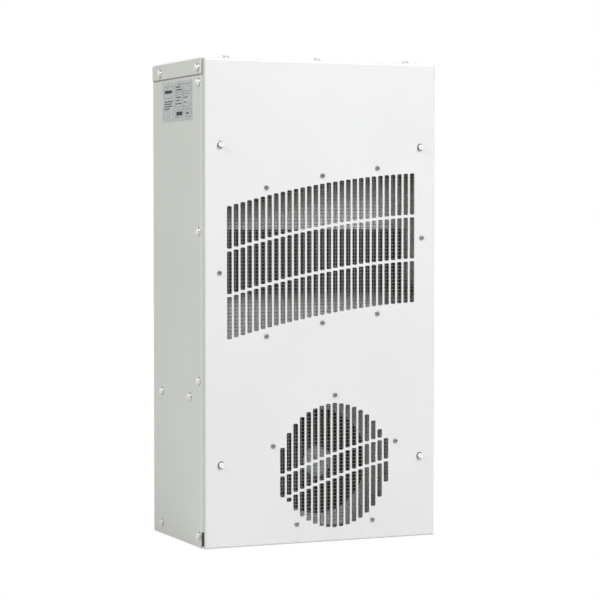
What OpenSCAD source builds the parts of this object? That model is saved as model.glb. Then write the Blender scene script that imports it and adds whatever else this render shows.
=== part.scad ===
// Closed-loop enclosure heat exchanger: a tall, shallow sheet metal case that is bolted to the
// outside of an electrical enclosure. Outside air enters at the round grille, passes up through the
// front-facing folds of the core and leaves at the curved grille. Enclosure air enters at the rear
// fan, passes down through the rear-facing folds and leaves at the window low in the rear panel.
// Axes: X to the right seen from the front, Y to the rear, Z up. The origin lies in the rear
// gasket's outer face, at the middle of the case. Heights are counted from the bottom of the case
// and depths from the outside of the front cover.

/* [Case] */
// Width across the front cover
case_w = 304.8; // [290:0.1:380]
// Height over the top cap
case_h = 584.2; // [575:0.1:720]
// Depth from the front cover to the back of the rear panel
case_d = 179.3; // [175:0.1:230]
// Thickness of the outer sheet
sheet_t = 1.2; // [1:0.1:1.6]
// Thickness of the rear panel
rear_t = 1.5; // [1.2:0.1:2.5]
// Outside radius of the bends in the outer sheet
bend_r = 2.4; // [2:0.1:4]
// Depth of the front cover's side and top flanges
cover_flange = 30; // [24:0.5:34]
// Depth of the front cover's bottom flange
cover_foot = 10; // [6:0.5:10.5]
// Depth at which the side panels begin
panel_front = 8; // [7:0.5:10.5]
// Width of the side panels' rear flanges
panel_flange = 24; // [22:0.5:28]
// Height of the cap's side lips
cap_lip = 19.2; // [16:0.1:26]
// Depth at which the bottom pan begins
pan_front = 11.5; // [11:0.5:12]
// Height of the bottom pan's flanges
pan_flange = 19; // [17:0.5:24]

/* [Curved grille] */
// Number of slot columns
column_count = 29; // [15:2:31]
// Distance between columns
column_pitch = 8.65; // [8:0.05:9]
// Width of a slot
slot_w = 6.35; // [5:0.05:7]
// Height of a slot
slot_h = 50.8; // [40:0.1:56]
// Radius of a slot's corners
slot_corner_r = 1.6; // [0.5:0.1:2.4]
// Height of the webs between slots
web_h = 3.2; // [2:0.1:6]
// Number of slot rows
row_count = 3; // [1:1:3]
// Radius of the arc that the slots' ends follow
arc_r = 1115; // [800:5:2000]
// Place of the arc's highest point, right of the middle
arc_apex_x = 183; // [150:1:220]
// Height of the arc's highest point
arc_apex_height = 450.6; // [430:0.1:480]

/* [Round grille] */
// Place of the grille's centre, right of the middle
inlet_x = 16.7; // [0:0.1:30]
// Height of the grille's centre
inlet_height = 93; // [90:0.1:100]
// Radius of the grille
inlet_r = 76.2; // [60:0.1:80]
// Number of slot columns
inlet_columns = 17; // [9:2:17]
// Distance between the two curved webs
inlet_web_gap = 28.6; // [20:0.1:36]
// Radius of the curved webs
inlet_web_r = 790; // [500:5:1200]
// Place of the webs' highest point, right of the grille's centre
inlet_web_apex = 225; // [150:1:260]

/* [Screens] */
// Thickness of the wire cloth
screen_t = 0.9; // [0.6:0.1:1.5]
// Distance from the slots to the grille screws' centres
grille_screw_gap = 9.6; // [7:0.1:14]
// Width of the cloth's border outside the screws' centres
screen_border = 6.5; // [5:0.1:8]

/* [Inner sheet metal] */
// Thickness of the inner sheet
liner_t = 1; // [0.8:0.1:1.5]
// Depth of the front of the inner partition
partition_depth = 50; // [46:0.5:54]
// Depth of the inner partition's side flanges
partition_flange = 12; // [10:0.5:15]
// Lowest edge of the partition's exhaust window
window_low = 302.5; // [290:0.5:310]
// Highest edge of the partition's exhaust window
window_high = 380; // [360:0.5:383]
// Half of the width of the exhaust window
window_half = 137; // [110:0.5:138]
// Height of the flow baffle
baffle_height = 208; // [190:0.5:225]
// Height of the top of the core shelf
shelf_height = 188; // [184:0.5:200]
// Depth of the core shelf's side flanges
shelf_flange = 15; // [12:0.5:20]
// Depth of the lower divider
divider_depth = 135; // [132:0.5:138]
// Height of the rear divider
divider_height = 268; // [260:0.5:276]

/* [Core] */
// Height of the folded foil
core_h = 193; // [180:0.5:210]
// Depth of the folded foil
core_d = 75; // [70:0.5:78]
// Distance between neighbouring folds
fold_pitch = 4.5; // [4:0.1:8]
// Thickness of the foil
foil_t = 0.5; // [0.3:0.1:0.8]
// Thickness of the core's foam seals
seal_t = 2; // [1:0.1:3]
// Room between the folded foil and the side panels
core_side_room = 8.4; // [7:0.1:12]

/* [Fans] */
// Width of a fan's square frame
fan_w = 135; // [132:0.5:165]
// Depth of a fan
fan_d = 38; // [32:0.5:40]
// Radius of a fan's duct
fan_bore_r = 64; // [52:0.5:64]
// Distance from a fan frame's edge to its screw holes
fan_hole_inset = 7.5; // [6:0.5:9]
// Number of blades
blade_count = 7; // [3:1:9]
// Gap between the blade tips and the duct
tip_gap = 1.6; // [1:0.1:3]
// Radius of the rotor hub
hub_r = 32; // [30:0.5:36]
// Radius of a fan's shaft
shaft_r = 2.5; // [2:0.1:3]
// Running clearance of the shaft in its bearings
shaft_clearance = 0.04; // [0.02:0.01:0.09]
// Height of the enclosure fan's axis
rear_fan_height = 480; // [470:0.5:485]

/* [Rear face] */
// Thickness of the rear gasket
gasket_t = 5; // [4.9:0.1:8]
// Width of the gasket's strips
gasket_w = 19; // [16:0.5:24]
// Distance from the rear panel's edges to the gasket
gasket_inset = 3.5; // [3:0.1:6]
// Half of the width of the rear outlet window
outlet_half = 100; // [80:0.5:110]
// Lowest edge of the rear outlet window
outlet_low = 32; // [28:0.5:40]
// Highest edge of the rear outlet window
outlet_high = 112; // [90:0.5:140]
// Distance from the rear panel's top and bottom to the outer mounting inserts
insert_inset_h = 30; // [29:0.5:40]
// Radius of the thread hole in a mounting insert
insert_hole_r = 2.5; // [2:0.1:3]
// Radius of the cable hole in the grommet
cable_r = 4; // [3:0.1:5]

/* [Hidden] */

$fn = 64;
// Facets of the wide arc
arc_facets = 1440;
// Overrun of every cut past the face that it opens
overrun = 1;
// Clearance between pieces that lie side by side without touching
fit_gap = 0.3;
// Clearance of a screw or rivet in its hole
hole_gap = 0.2;
// Length of a screw that stands out of its nut
screw_end = 1;

// Case levels that follow from its sizes
front_y = -(case_d + gasket_t);
half_w = case_w / 2;
panel_back = case_d - rear_t;
case_top = case_h - sheet_t;
cover_notch_h = pan_flange + 2 * fit_gap;
cover_notch_front = 3.7;
panel_notch_d = 3;
panel_x = half_w + sheet_t;
flange_front = panel_back - sheet_t;
// Room that a piece leaves at the inside of a neighbour's bend
bend_room = bend_r + fit_gap;
inner_back = flange_front - (bend_r - sheet_t);
panel_top = case_top - (bend_r - sheet_t);

// Curved grille
grille_h = row_count * slot_h + (row_count - 1) * web_h;
end_column_x = (column_count - 1) / 2 * column_pitch;

// Ends of the slots in the round grille's two end columns, as shares of its radius
left_end_shares = [[-0.47, -0.136], [-0.094, 0.316]];
right_end_shares = [[-0.308, 0.022], [0.064, 0.399]];
// Shortest slot that is punched at the round grille's rim
shortest_slot = 2.5 * slot_corner_r;
// Steps in a millimetre on which the slots' ends lie
slot_steps = 50;
inlet_screw_count = 5;

// Screws: shank radius, washer radius and thickness, hexagon across corners, head height
screw_r = 2;
washer_r = 4.7;
washer_t = 0.9;
hex_r = 4;
hex_h = 3;
cover_screw_r = 2.1;
cover_washer_r = 4.4;
cover_hex_r = 3.7;
cover_screw_grip = 14;
pan_head_r = 2.8;
pan_head_h = 2.2;
recess_w = 0.9;
recess_l = 3.8;
recess_depth = 1.1;
nut_r = 3.9;
nut_h = 2.4;
speed_nut_w = 14;
speed_nut_t = 1.6;
standoff_r = 5;

// Places of the cover screws, with their heights as shares of the case's height
cover_screw_inset = 20.3;
cover_screw_x = half_w - cover_screw_inset;
cover_screw_shares = [0.171, 0.8235];
cover_screw_heights = cover_screw_shares * case_h;
grille_screw_x = 73.5;

// Places of the side screws, with those along the front as shares of the case's height
edge_screw_depth = 16;
edge_screw_shares = [0.342, 0.647, 0.95];
edge_screw_heights = edge_screw_shares * case_h;
pan_screw_height = 3 / 4 * pan_flange;
rear_screw_inset = 34;
rear_screw_depth = case_d - rear_screw_inset;
liner_screw_inset = 4;
liner_screw_drop = 9;
partition_screw_depth = partition_depth - liner_screw_inset;
liner_screw_height = shelf_height - liner_screw_drop;
shelf_screw_depth = divider_depth + liner_screw_drop;

// Overhang of the cap before the panels, its distance from the rear, and its screws
cap_overhang = 2;
cap_setback = 5;
cap_screw_drop = 11.7;
cap_screw_height = case_h - cap_screw_drop;
top_screw_inset = 33.4;
top_screw_x = half_w - top_screw_inset;

// Rating plate on the left side
plate_w = 103.5;
plate_h = 48;
plate_t = 0.5;
plate_r = 2;
plate_front = 36.5;
plate_drop = 24.2;

// Inner sheet metal
baffle_lip = 10;
fan_hole_gap = 1;
core_opening_edge = 4;
duct_half = 120;
duct_wall = 3.5;
duct_rear_edge = 4;
divider_lip = 12;
partition_rear = partition_depth + liner_t;

// Core
fold_count = 2 * floor((case_w - 2 * core_side_room) / fold_pitch / 2);
core_w = fold_count * fold_pitch;
comb_t = 3;
fold_front = partition_rear + seal_t;
fold_rear = fold_front + core_d;
fold_low = shelf_height + comb_t;
fold_high = fold_low + core_h;
core_plate_x = core_w / 2 + foil_t;
rear_plate_depth = fold_rear + seal_t;
core_cap_lip = 12;
rear_window_half = 128;
core_window_edge = 12;
core_window_foot = 8;
core_window_gap = 20;
upper_window = [divider_height + core_window_gap, fold_high - core_window_edge];
lower_window = [shelf_height + core_window_foot, divider_height - core_window_gap];
side_seal_d = 10;

// Fans, measured along the axis from the face with the struts
fan_flange_t = 5;
fan_corner_r = 8;
duct_t = 2.2;
strut_recess = 3;
strut_t = 3.2;
strut_w = 8;
hub_plate_r = 31;
bearing_r = 5;
bearing_h = 4;
bearing_low = 8;
bearing_high = 25;
tube_r = 7;
tube_end = 30;
rotor_room = 3.3;
rotor_end = fan_d - rotor_room;
cup_h = 22.7;
cup_wall = 3;
shaft_low = 7.2;
shaft_seat = 2;
blade_t = 2;
blade_chord = 40;
blade_stagger = 34;
blade_camber_r = 46;
blade_mid = 20.5;
blade_low = 8;
blade_root = 1.5;
stator_r = 26;
stator_low = 13.6;
stator_h = 10;
stator_slot_w = 3;
winding_r = 2.6;
winding_mid_r = 17;
label_r = 18.5;
label_t = 0.5;
fan_screw_r = 2;
fan_nut_h = 3;
rear_fan_depth = panel_back - fan_d;
fan_hole_pitch = fan_w - 2 * fan_hole_inset;

// Wire finger guard on the rear panel, levels counted from the panel's face
wire_r = 0.8;
guard_spoke_level = 2.2;
guard_joint = 0.05;
guard_ring_level = guard_spoke_level + 2 * wire_r + guard_joint;
guard_ring_count = 7;
guard_ring_first = 10;
guard_loop_play = 1;
guard_loop_r = fan_screw_r + wire_r + guard_loop_play;
guard_washer_h = guard_spoke_level - wire_r;

// Rear panel
insert_x = half_w - gasket_inset - gasket_w / 2;
insert_heights = [insert_inset_h, case_h / 2, case_top - insert_inset_h];
insert_r = 4.5;
insert_len = 12;
insert_flange_r = 5.5;
insert_flange_t = 1;
gasket_hole_gap = 0.8;
gasket_hole_r = insert_flange_r + gasket_hole_gap;
gasket_mid_w = 24;
rivet_r = 2;
rivet_head_r = 3.6;
rivet_head_h = 1;
rivet_len = 6;
rivet_inset = 5;
rivet_x = half_w - rivet_inset;
rivet_shares = [0.1, 0.24, 0.38, 0.62, 0.76, 0.9];
rear_top_flange = 12;

// Wiring, on the rear panel's inner face
lead_r = 2.5;
lead_inset = 15;
lead_x = lead_inset - duct_half;
lead_bend_r = 12;
lead_depth = panel_back - lead_bend_r;
lead_start_depth = partition_rear + fan_d / 2 + lead_r;
block_w = 44;
block_d = 20;
block_h = 22;
block_lift = 62;
block_low = divider_height + block_lift;
block_hole_r = 2.6;
block_hole_depth = 6;
block_pole_count = 4;
grommet_shift = 25;
grommet_lift = 60;
grommet_x = lead_x + grommet_shift;
grommet_height = block_low + grommet_lift;
grommet_r = 9;
grommet_neck_r = 7;
grommet_lip_t = 2;
stud_shift = 14;
stud_x = grommet_x + stud_shift;
stud_r = 2.5;
stud_len = 16;
stud_nut_r = 4.6;
stud_nut_h = 4;
lead_grommet_r = 6;
lead_grommet_lip = 1.5;
clip_w = 10;
clip_t = 1.3;
clip_lift = 30;
clip_heights = [shelf_height + clip_lift, block_low + block_h + 2 * clip_lift];

// Depth and height in the case as places on the Y and Z axes
function y_at(depth) = front_y + depth;
function z_at(height) = height - case_h / 2;

// Height of the curved grille's upper edge
function grille_top(x) = arc_apex_height - arc_r + sqrt(pow(arc_r, 2) - pow(x - arc_apex_x, 2));

// Rise of the round grille's webs from the grille's middle
function web_level(dx) = sqrt(pow(inlet_web_r, 2) - pow(dx - inlet_web_apex, 2));
function web_rise(dx) = web_level(dx) - web_level(0);

// Box between two places across, two depths and two heights
module block(x, depth, height) {
    translate([x[0], y_at(depth[0]), z_at(height[0])])
        cube([x[1] - x[0], depth[1] - depth[0], height[1] - height[0]]);
}

// Rods along the three axes
module rod_x(x, depth, height, r) {
    translate([x[0], y_at(depth), z_at(height)])
        rotate([0, 90, 0])
            cylinder(r = r, h = x[1] - x[0]);
}

module rod_y(x, height, depth, r) {
    translate([x, y_at(depth[0]), z_at(height)])
        rotate([-90, 0, 0])
            cylinder(r = r, h = depth[1] - depth[0]);
}

module rod_z(x, depth, height, r) {
    translate([x, y_at(depth), z_at(height[0])])
        cylinder(r = r, h = height[1] - height[0]);
}

// Children at their own place and mirrored to the other side
module both_sides() {
    children();
    mirror([1, 0, 0])
        children();
}

// Rectangle on the X axis with its two lower corners rounded
module round_foot(w, d, r) {
    translate([-w / 2, r])
        square([w, d - r]);
    translate([r - w / 2, 0])
        square([w - 2 * r, r]);
    for (side = [-1, 1])
        translate([side * (w / 2 - r), r])
            circle(r = r);
}

// Box w by h that rises from the ground, all four lower edges rounded
module pillow(w, h, d, r) {
    intersection() {
        translate([0, h / 2, 0])
            rotate([90, 0, 0])
                linear_extrude(h)
                    round_foot(w, d, r);
        translate([-w / 2, 0, 0])
            rotate([90, 0, 90])
                linear_extrude(w)
                    round_foot(h, d, r);
    }
}

// Folded tray with four flanges that rise from its face
module tray(w, h, d, t, r) {
    difference() {
        pillow(w, h, d, r);
        translate([0, 0, t])
            pillow(w - 2 * t, h - 2 * t, d, r - t);
    }
}

// Folded channel along Y with two flanges that rise from its face
module channel(w, l, d, t, r) {
    translate([0, l / 2, 0])
        rotate([90, 0, 0])
            linear_extrude(l)
                difference() {
                    round_foot(w, d, r);
                    translate([0, t])
                        round_foot(w - 2 * t, d, r - t);
                }
}

// Folded angle: leg a along X and leg b along Y from a bend at the origin
module angle_section(a, b, t, r) {
    translate([r, 0])
        square([a - r, t]);
    translate([0, r])
        square([t, b - r]);
    translate([r, r])
        intersection() {
            difference() {
                circle(r = r);
                circle(r = r - t);
            }
            translate([-r, -r])
                square(r);
        }
}

// Square with rounded corners, centred
module rounded_square(w, h, r) {
    square([w, h - 2 * r], center = true);
    square([w - 2 * r, h], center = true);
    for (x = [-1, 1], y = [-1, 1])
        translate([x * (w / 2 - r), y * (h / 2 - r)])
            circle(r = r);
}

// Hex washer screw: head on the ground, shank of length l going down
module hex_screw(l, r, flange_r, corner_r) {
    translate([0, 0, -l])
        cylinder(r = r, h = l);
    cylinder(r = flange_r, h = washer_t);
    translate([0, 0, washer_t])
        cylinder(r = corner_r, h = hex_h, $fn = 6);
}

// Pan head screw with a cross recess: head on the ground, shank going down
module pan_screw(l, r) {
    dome_r = (pow(pan_head_r, 2) + pow(pan_head_h, 2)) / pan_head_h / 2 + pan_head_h / 2;
    translate([0, 0, -l])
        cylinder(r = r, h = l);
    difference() {
        intersection() {
            cylinder(r = pan_head_r, h = pan_head_h);
            translate([0, 0, pan_head_h - dome_r])
                sphere(r = dome_r);
        }
        for (turn = [0, 90])
            rotate([0, 0, turn])
                translate([-recess_l / 2, -recess_w / 2, pan_head_h - recess_depth])
                    cube([recess_l, recess_w, recess_depth + overrun]);
    }
}

// Hexagon nut on the ground round a shank of radius r
module nut(corner_r, h, r) {
    difference() {
        cylinder(r = corner_r, h = h, $fn = 6);
        translate([0, 0, -overrun])
            cylinder(r = r, h = h + 2 * overrun);
    }
}

// Children with their ground on a face that looks forward, at a depth
module on_front(x, depth, height) {
    translate([x, y_at(depth), z_at(height)])
        rotate([90, 0, 0])
            children();
}

// Children with their ground on a face that looks to the rear
module on_rear(x, depth, height) {
    translate([x, y_at(depth), z_at(height)])
        rotate([-90, 0, 0])
            children();
}

// Children with their ground on the right side of the case
module on_right(x, depth, height) {
    translate([x, y_at(depth), z_at(height)])
        rotate([0, 90, 0])
            children();
}

// Places of the screws round the curved grille, as pairs of x and height
function grille_screw_places() = concat(
    [for (x = [-grille_screw_x, 0, grille_screw_x]) [x, grille_top(x) + grille_screw_gap]],
    [for (x = [-grille_screw_x, 0, grille_screw_x]) [x, grille_top(x) - grille_h - grille_screw_gap]],
    [for (side = [-1, 1])
        [side * (end_column_x + slot_w / 2 + grille_screw_gap),
            grille_top(side * end_column_x) - grille_h / 2]]);

// Places of the screws round the round grille
function inlet_screw_places() = [for (i = [0:inlet_screw_count - 1])
    let (turn = 90 + i * 360 / inlet_screw_count)
        [inlet_x + (inlet_r + grille_screw_gap) * cos(turn),
            inlet_height + (inlet_r + grille_screw_gap) * sin(turn)]];

// Places of the side screws along the front cover: depth, height and the flange behind the panel
function edge_screw_places() = [for (height = edge_screw_heights) [edge_screw_depth, height, sheet_t]];

// Places of the side screws that bite straight into a flange, in the same form
function flange_screw_places() = [[edge_screw_depth, pan_screw_height, sheet_t],
    [rear_screw_depth, pan_screw_height, sheet_t],
    [partition_screw_depth, liner_screw_height, liner_t],
    [shelf_screw_depth, liner_screw_height, liner_t]];

function side_screw_places() = concat(edge_screw_places(), flange_screw_places());

// Places of the screws in the cap's lips, in the same form
function cap_screw_places() = [[edge_screw_depth, cap_screw_height, sheet_t],
    [rear_screw_depth, cap_screw_height, 0]];

// Corners of a fan's hole pattern round its centre
function fan_corners() = [for (x = [-1, 1], z = [-1, 1]) [x, z] * fan_hole_pitch / 2];

// Upright slot with rounded corners through the cover's face
module face_slot(x, low, high) {
    bottom = ceil(low * slot_steps) / slot_steps;
    top = floor(high * slot_steps) / slot_steps;
    on_rear(x, -overrun, (bottom + top) / 2)
        linear_extrude(sheet_t + 2 * overrun)
            rounded_square(slot_w, top - bottom, slot_corner_r);
}

// Columns of slots in the curved grille
module curved_slots() {
    for (i = [0:column_count - 1], row = [0:row_count - 1]) {
        x = i * column_pitch - end_column_x;
        high = grille_top(x) - row * (slot_h + web_h);
        face_slot(x, high - slot_h, high);
    }
}

// One slot of the round grille between two heights from its centre
module inlet_slot(dx, low, high) {
    if (high - low > shortest_slot)
        face_slot(inlet_x + dx, inlet_height + low, inlet_height + high);
}

// Columns of slots in the round grille, cut by the two webs
module round_slots() {
    last = (inlet_columns - 1) / 2;
    for (i = [1 - last:last - 1]) {
        dx = i * column_pitch;
        end = sqrt(pow(inlet_r, 2) - pow(abs(dx) + slot_w / 2, 2));
        lower_web = web_rise(dx) - inlet_web_gap / 2;
        upper_web = web_rise(dx) + inlet_web_gap / 2;
        inlet_slot(dx, -end, min(end, lower_web - web_h / 2));
        inlet_slot(dx, max(-end, lower_web + web_h / 2), min(end, upper_web - web_h / 2));
        inlet_slot(dx, max(-end, upper_web + web_h / 2), end);
    }
    for (slot = left_end_shares)
        inlet_slot(-last * column_pitch, slot[0] * inlet_r, slot[1] * inlet_r);
    for (slot = right_end_shares)
        inlet_slot(last * column_pitch, slot[0] * inlet_r, slot[1] * inlet_r);
}

// Front cover: a tray with both grilles, its flanges inside the side panels and under the cap
module front_cover() {
    color([0.93, 0.93, 0.92])
        difference() {
            translate([0, front_y, z_at(case_top / 2)])
                rotate([-90, 0, 0])
                    tray(case_w, case_top, cover_flange, sheet_t, bend_r);
            // The bottom flange is shorter than the others
            block([-half_w - overrun, half_w + overrun], [cover_foot, cover_flange + overrun],
                [-overrun, cover_notch_h]);
            // Notches beside the bottom flange
            both_sides()
                block([half_w - 2 * bend_r, half_w + overrun],
                    [cover_notch_front, cover_flange + overrun], [bend_r, cover_notch_h]);
            curved_slots();
            round_slots();
            for (place = concat(grille_screw_places(), inlet_screw_places()))
                rod_y(place[0], place[1], [-overrun, sheet_t + overrun], screw_r + hole_gap);
            for (height = cover_screw_heights)
                both_sides()
                    rod_y(cover_screw_x, height, [-overrun, sheet_t + overrun],
                        cover_screw_r + hole_gap);
            for (place = concat(edge_screw_places(), [cap_screw_places()[0]]))
                rod_x([-half_w - overrun, half_w + overrun], place[0], place[1],
                    screw_r + hole_gap);
            for (x = [-top_screw_x, 0, top_screw_x])
                rod_z(x, edge_screw_depth, [case_top - sheet_t - overrun, case_h], screw_r + hole_gap);
        }
}

// Side panel with its rear flange, drawn on the right
module side_panel() {
    difference() {
        translate([panel_x, y_at(panel_back), z_at(0)])
            rotate([0, 0, 180])
                linear_extrude(panel_top)
                    angle_section(panel_flange + sheet_t, panel_back - panel_front, sheet_t, bend_r);
        block([half_w - overrun, panel_x + overrun],
            [panel_front - overrun, panel_front + panel_notch_d], [-overrun, cover_notch_h]);
        for (place = concat(side_screw_places(), cap_screw_places()))
            rod_x([half_w - overrun, panel_x + overrun], place[0], place[1], screw_r + hole_gap);
        for (height = insert_heights)
            rod_y(insert_x, height, [flange_front - overrun, panel_back + overrun],
                insert_r + hole_gap);
        for (share = rivet_shares)
            rod_y(rivet_x, share * case_top, [flange_front - overrun, panel_back + overrun],
                rivet_r + hole_gap);
    }
}

module left_side_panel() {
    color([0.77, 0.78, 0.75])
        mirror([1, 0, 0])
            side_panel();
}

module right_side_panel() {
    color([0.77, 0.78, 0.75])
        side_panel();
}

// Rear panel with the fan opening, the outlet window and a flange under the cap
module rear_panel() {
    lip = half_w - panel_flange - sheet_t;
    color([0.77, 0.78, 0.75])
        difference() {
            union() {
                block([-half_w, half_w], [panel_back, case_d], [0, case_top]);
                block([-lip, lip], [panel_back - rear_top_flange, panel_back],
                    [case_top - sheet_t, case_top]);
            }
            rod_y(0, rear_fan_height, [panel_back - overrun, case_d + overrun], fan_bore_r);
            for (corner = fan_corners())
                rod_y(corner[0], rear_fan_height + corner[1],
                    [panel_back - overrun, case_d + overrun], fan_screw_r + hole_gap);
            block([-outlet_half, outlet_half], [panel_back - overrun, case_d + overrun],
                [outlet_low, outlet_high]);
            both_sides() {
                for (height = insert_heights)
                    rod_y(insert_x, height, [panel_back - overrun, case_d + overrun],
                        insert_r + hole_gap);
                for (share = rivet_shares)
                    rod_y(rivet_x, share * case_top, [panel_back - overrun, case_d + overrun],
                        rivet_r + hole_gap);
            }
            rod_y(grommet_x, grommet_height, [panel_back - overrun, case_d + overrun],
                grommet_neck_r + hole_gap);
            rod_y(stud_x, block_low, [panel_back - overrun, case_d + overrun], stud_r + hole_gap);
        }
}

// Cap that closes the top, its side lips outside the side panels
module top_cap() {
    cap_half = panel_x + fit_gap + sheet_t;
    front = panel_front - cap_overhang;
    back = case_d - cap_setback;
    color([0.77, 0.78, 0.75])
        difference() {
            translate([0, y_at((front + back) / 2), z_at(case_h)])
                mirror([0, 0, 1])
                    channel(2 * cap_half, back - front, cap_lip, sheet_t, bend_r);
            for (place = cap_screw_places())
                rod_x([-cap_half - overrun, cap_half + overrun], place[0], place[1],
                    screw_r + hole_gap);
            for (x = [-top_screw_x, 0, top_screw_x])
                rod_z(x, edge_screw_depth, [case_top - overrun, case_h + overrun],
                    screw_r + hole_gap);
        }
}

// Pan that closes the bottom, its flanges inside the side panels
module bottom_pan() {
    drain_r = 4;
    color([0.77, 0.78, 0.75])
        difference() {
            translate([0, y_at((pan_front + inner_back) / 2), z_at(0)])
                tray(case_w, inner_back - pan_front, pan_flange, sheet_t, bend_r);
            for (depth = [edge_screw_depth, rear_screw_depth])
                rod_x([-half_w - overrun, half_w + overrun], depth, pan_screw_height,
                    screw_r + hole_gap);
            both_sides()
                rod_z(cover_screw_x, edge_screw_depth + drain_r, [-overrun, sheet_t + overrun], drain_r);
        }
}

// Metal rating plate on the left side panel
module rating_plate() {
    color([0.68, 0.71, 0.75])
        translate([-panel_x, y_at(plate_front + plate_w / 2), z_at(case_h - plate_drop - plate_h / 2)])
            rotate([90, 0, -90])
                linear_extrude(plate_t)
                    rounded_square(plate_w, plate_h, plate_r);
}

// Wire cloth behind the curved grille, cut to the same arc
module upper_screen() {
    reach = grille_screw_gap + screen_border;
    half = end_column_x + slot_w / 2 + reach;
    low = grille_top(-half) - grille_h - 2 * reach;
    depth = [sheet_t, sheet_t + screen_t];
    middle = arc_apex_height - arc_r;
    color([0.33, 0.32, 0.3])
        difference() {
            intersection() {
                block([-half, half], depth, [low, arc_apex_height + reach]);
                rod_y(arc_apex_x, middle + reach, depth, arc_r, $fn = arc_facets);
            }
            rod_y(arc_apex_x, middle - grille_h - reach, [0, depth[1] + overrun], arc_r,
                $fn = arc_facets);
            for (place = grille_screw_places())
                rod_y(place[0], place[1], [0, depth[1] + overrun], screw_r + hole_gap);
        }
}

// Wire cloth disc behind the round grille, trimmed straight above the cover's bottom flange
module lower_screen() {
    depth = [sheet_t, sheet_t + screen_t];
    reach = inlet_r + grille_screw_gap + screen_border;
    color([0.33, 0.32, 0.3])
        difference() {
            rod_y(inlet_x, inlet_height, depth, reach);
            block([inlet_x - reach, inlet_x + reach], [0, depth[1] + overrun], [-overrun, bend_room]);
            for (place = inlet_screw_places())
                rod_y(place[0], place[1], [0, depth[1] + overrun], screw_r + hole_gap);
        }
}

// Small pan head screws round both grilles
module grille_screws() {
    length = sheet_t + screen_t + nut_h + screw_end;
    color([0.62, 0.63, 0.64])
        for (place = concat(grille_screw_places(), inlet_screw_places()))
            on_front(place[0], 0, place[1])
                pan_screw(length, screw_r);
}

// Nuts that hold the wire cloths against the cover
module screen_nuts() {
    color([0.6, 0.6, 0.6])
        for (place = concat(grille_screw_places(), inlet_screw_places()))
            on_rear(place[0], sheet_t + screen_t, place[1])
                nut(nut_r, nut_h, screw_r);
}

// Larger screws that hold the cover to the standoffs
module front_cover_screws() {
    color([0.82, 0.82, 0.8])
        for (height = cover_screw_heights)
            both_sides()
                on_front(cover_screw_x, 0, height)
                    hex_screw(cover_screw_grip, cover_screw_r, cover_washer_r, cover_hex_r);
}

// Threaded spacers between the partition and the cover
module cover_standoffs() {
    color([0.7, 0.7, 0.7])
        for (height = cover_screw_heights)
            both_sides()
                difference() {
                    rod_y(cover_screw_x, height, [sheet_t, partition_depth], standoff_r);
                    rod_y(cover_screw_x, height, [0, partition_depth + overrun], cover_screw_r);
                }
}

// Screws that hold the standoffs to the partition, from behind
module standoff_screws() {
    color([0.7, 0.7, 0.7])
        for (height = cover_screw_heights)
            both_sides()
                on_rear(cover_screw_x, partition_rear, height)
                    hex_screw(cover_screw_grip, cover_screw_r, cover_washer_r, cover_hex_r);
}

// Hex washer screws in the side panels
module side_screws() {
    color([0.82, 0.82, 0.8])
        both_sides()
            for (place = side_screw_places())
                on_right(panel_x, place[0], place[1])
                    hex_screw(sheet_t + place[2] + speed_nut_t + screw_end, screw_r, washer_r, hex_r);
}

// Hex washer screws in the cap's lips and in its top
module cap_screws() {
    color([0.82, 0.82, 0.8]) {
        both_sides()
            for (place = cap_screw_places())
                on_right(panel_x + fit_gap + sheet_t, place[0], place[1])
                    hex_screw(2 * sheet_t + fit_gap + place[2] + speed_nut_t + screw_end, screw_r,
                        washer_r, hex_r);
        for (x = [-top_screw_x, 0, top_screw_x])
            translate([x, y_at(edge_screw_depth), z_at(case_h)])
                hex_screw(2 * sheet_t + speed_nut_t + screw_end, screw_r, washer_r, hex_r);
    }
}

// Sheet metal nuts that the side and cap screws bite into
module speed_nut() {
    difference() {
        translate([-speed_nut_w / 2, -speed_nut_w / 2, -speed_nut_t])
            cube([speed_nut_w, speed_nut_w, speed_nut_t]);
        translate([0, 0, -speed_nut_t - overrun])
            cylinder(r = screw_r, h = speed_nut_t + 2 * overrun);
    }
}

module speed_nuts() {
    color([0.45, 0.45, 0.47]) {
        both_sides()
            for (place = concat(edge_screw_places(), cap_screw_places()))
                on_right(half_w - place[2], place[0], place[1])
                    speed_nut();
        for (x = [-top_screw_x, 0, top_screw_x])
            translate([x, y_at(edge_screw_depth), z_at(case_top - sheet_t)])
                speed_nut();
    }
}

// Inner partition: a light plate with the fan hole and the exhaust window
module inner_partition() {
    height = case_top - fit_gap - sheet_t;
    color([0.85, 0.86, 0.86])
        difference() {
            translate([0, y_at(partition_rear), z_at(sheet_t + height / 2)])
                rotate([90, 0, 0])
                    channel(case_w, height, partition_flange + liner_t, liner_t, bend_r);
            both_sides()
                block([half_w - bend_room, half_w + overrun], [0, partition_rear + overrun],
                    [0, pan_flange + bend_room]);
            rod_y(inlet_x, inlet_height, [partition_depth - overrun, partition_rear + overrun],
                fan_bore_r + fan_hole_gap);
            for (corner = fan_corners())
                rod_y(inlet_x + corner[0], inlet_height + corner[1],
                    [partition_depth - overrun, partition_rear + overrun], fan_screw_r + hole_gap);
            block([-window_half, window_half], [partition_depth - overrun, partition_rear + overrun],
                [window_low, window_high]);
            for (height = cover_screw_heights)
                both_sides()
                    rod_y(cover_screw_x, height, [partition_depth - overrun, partition_rear + overrun],
                        cover_screw_r + hole_gap);
            rod_x([-half_w - overrun, half_w + overrun], partition_screw_depth, liner_screw_height,
                screw_r + hole_gap);
        }
}

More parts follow.
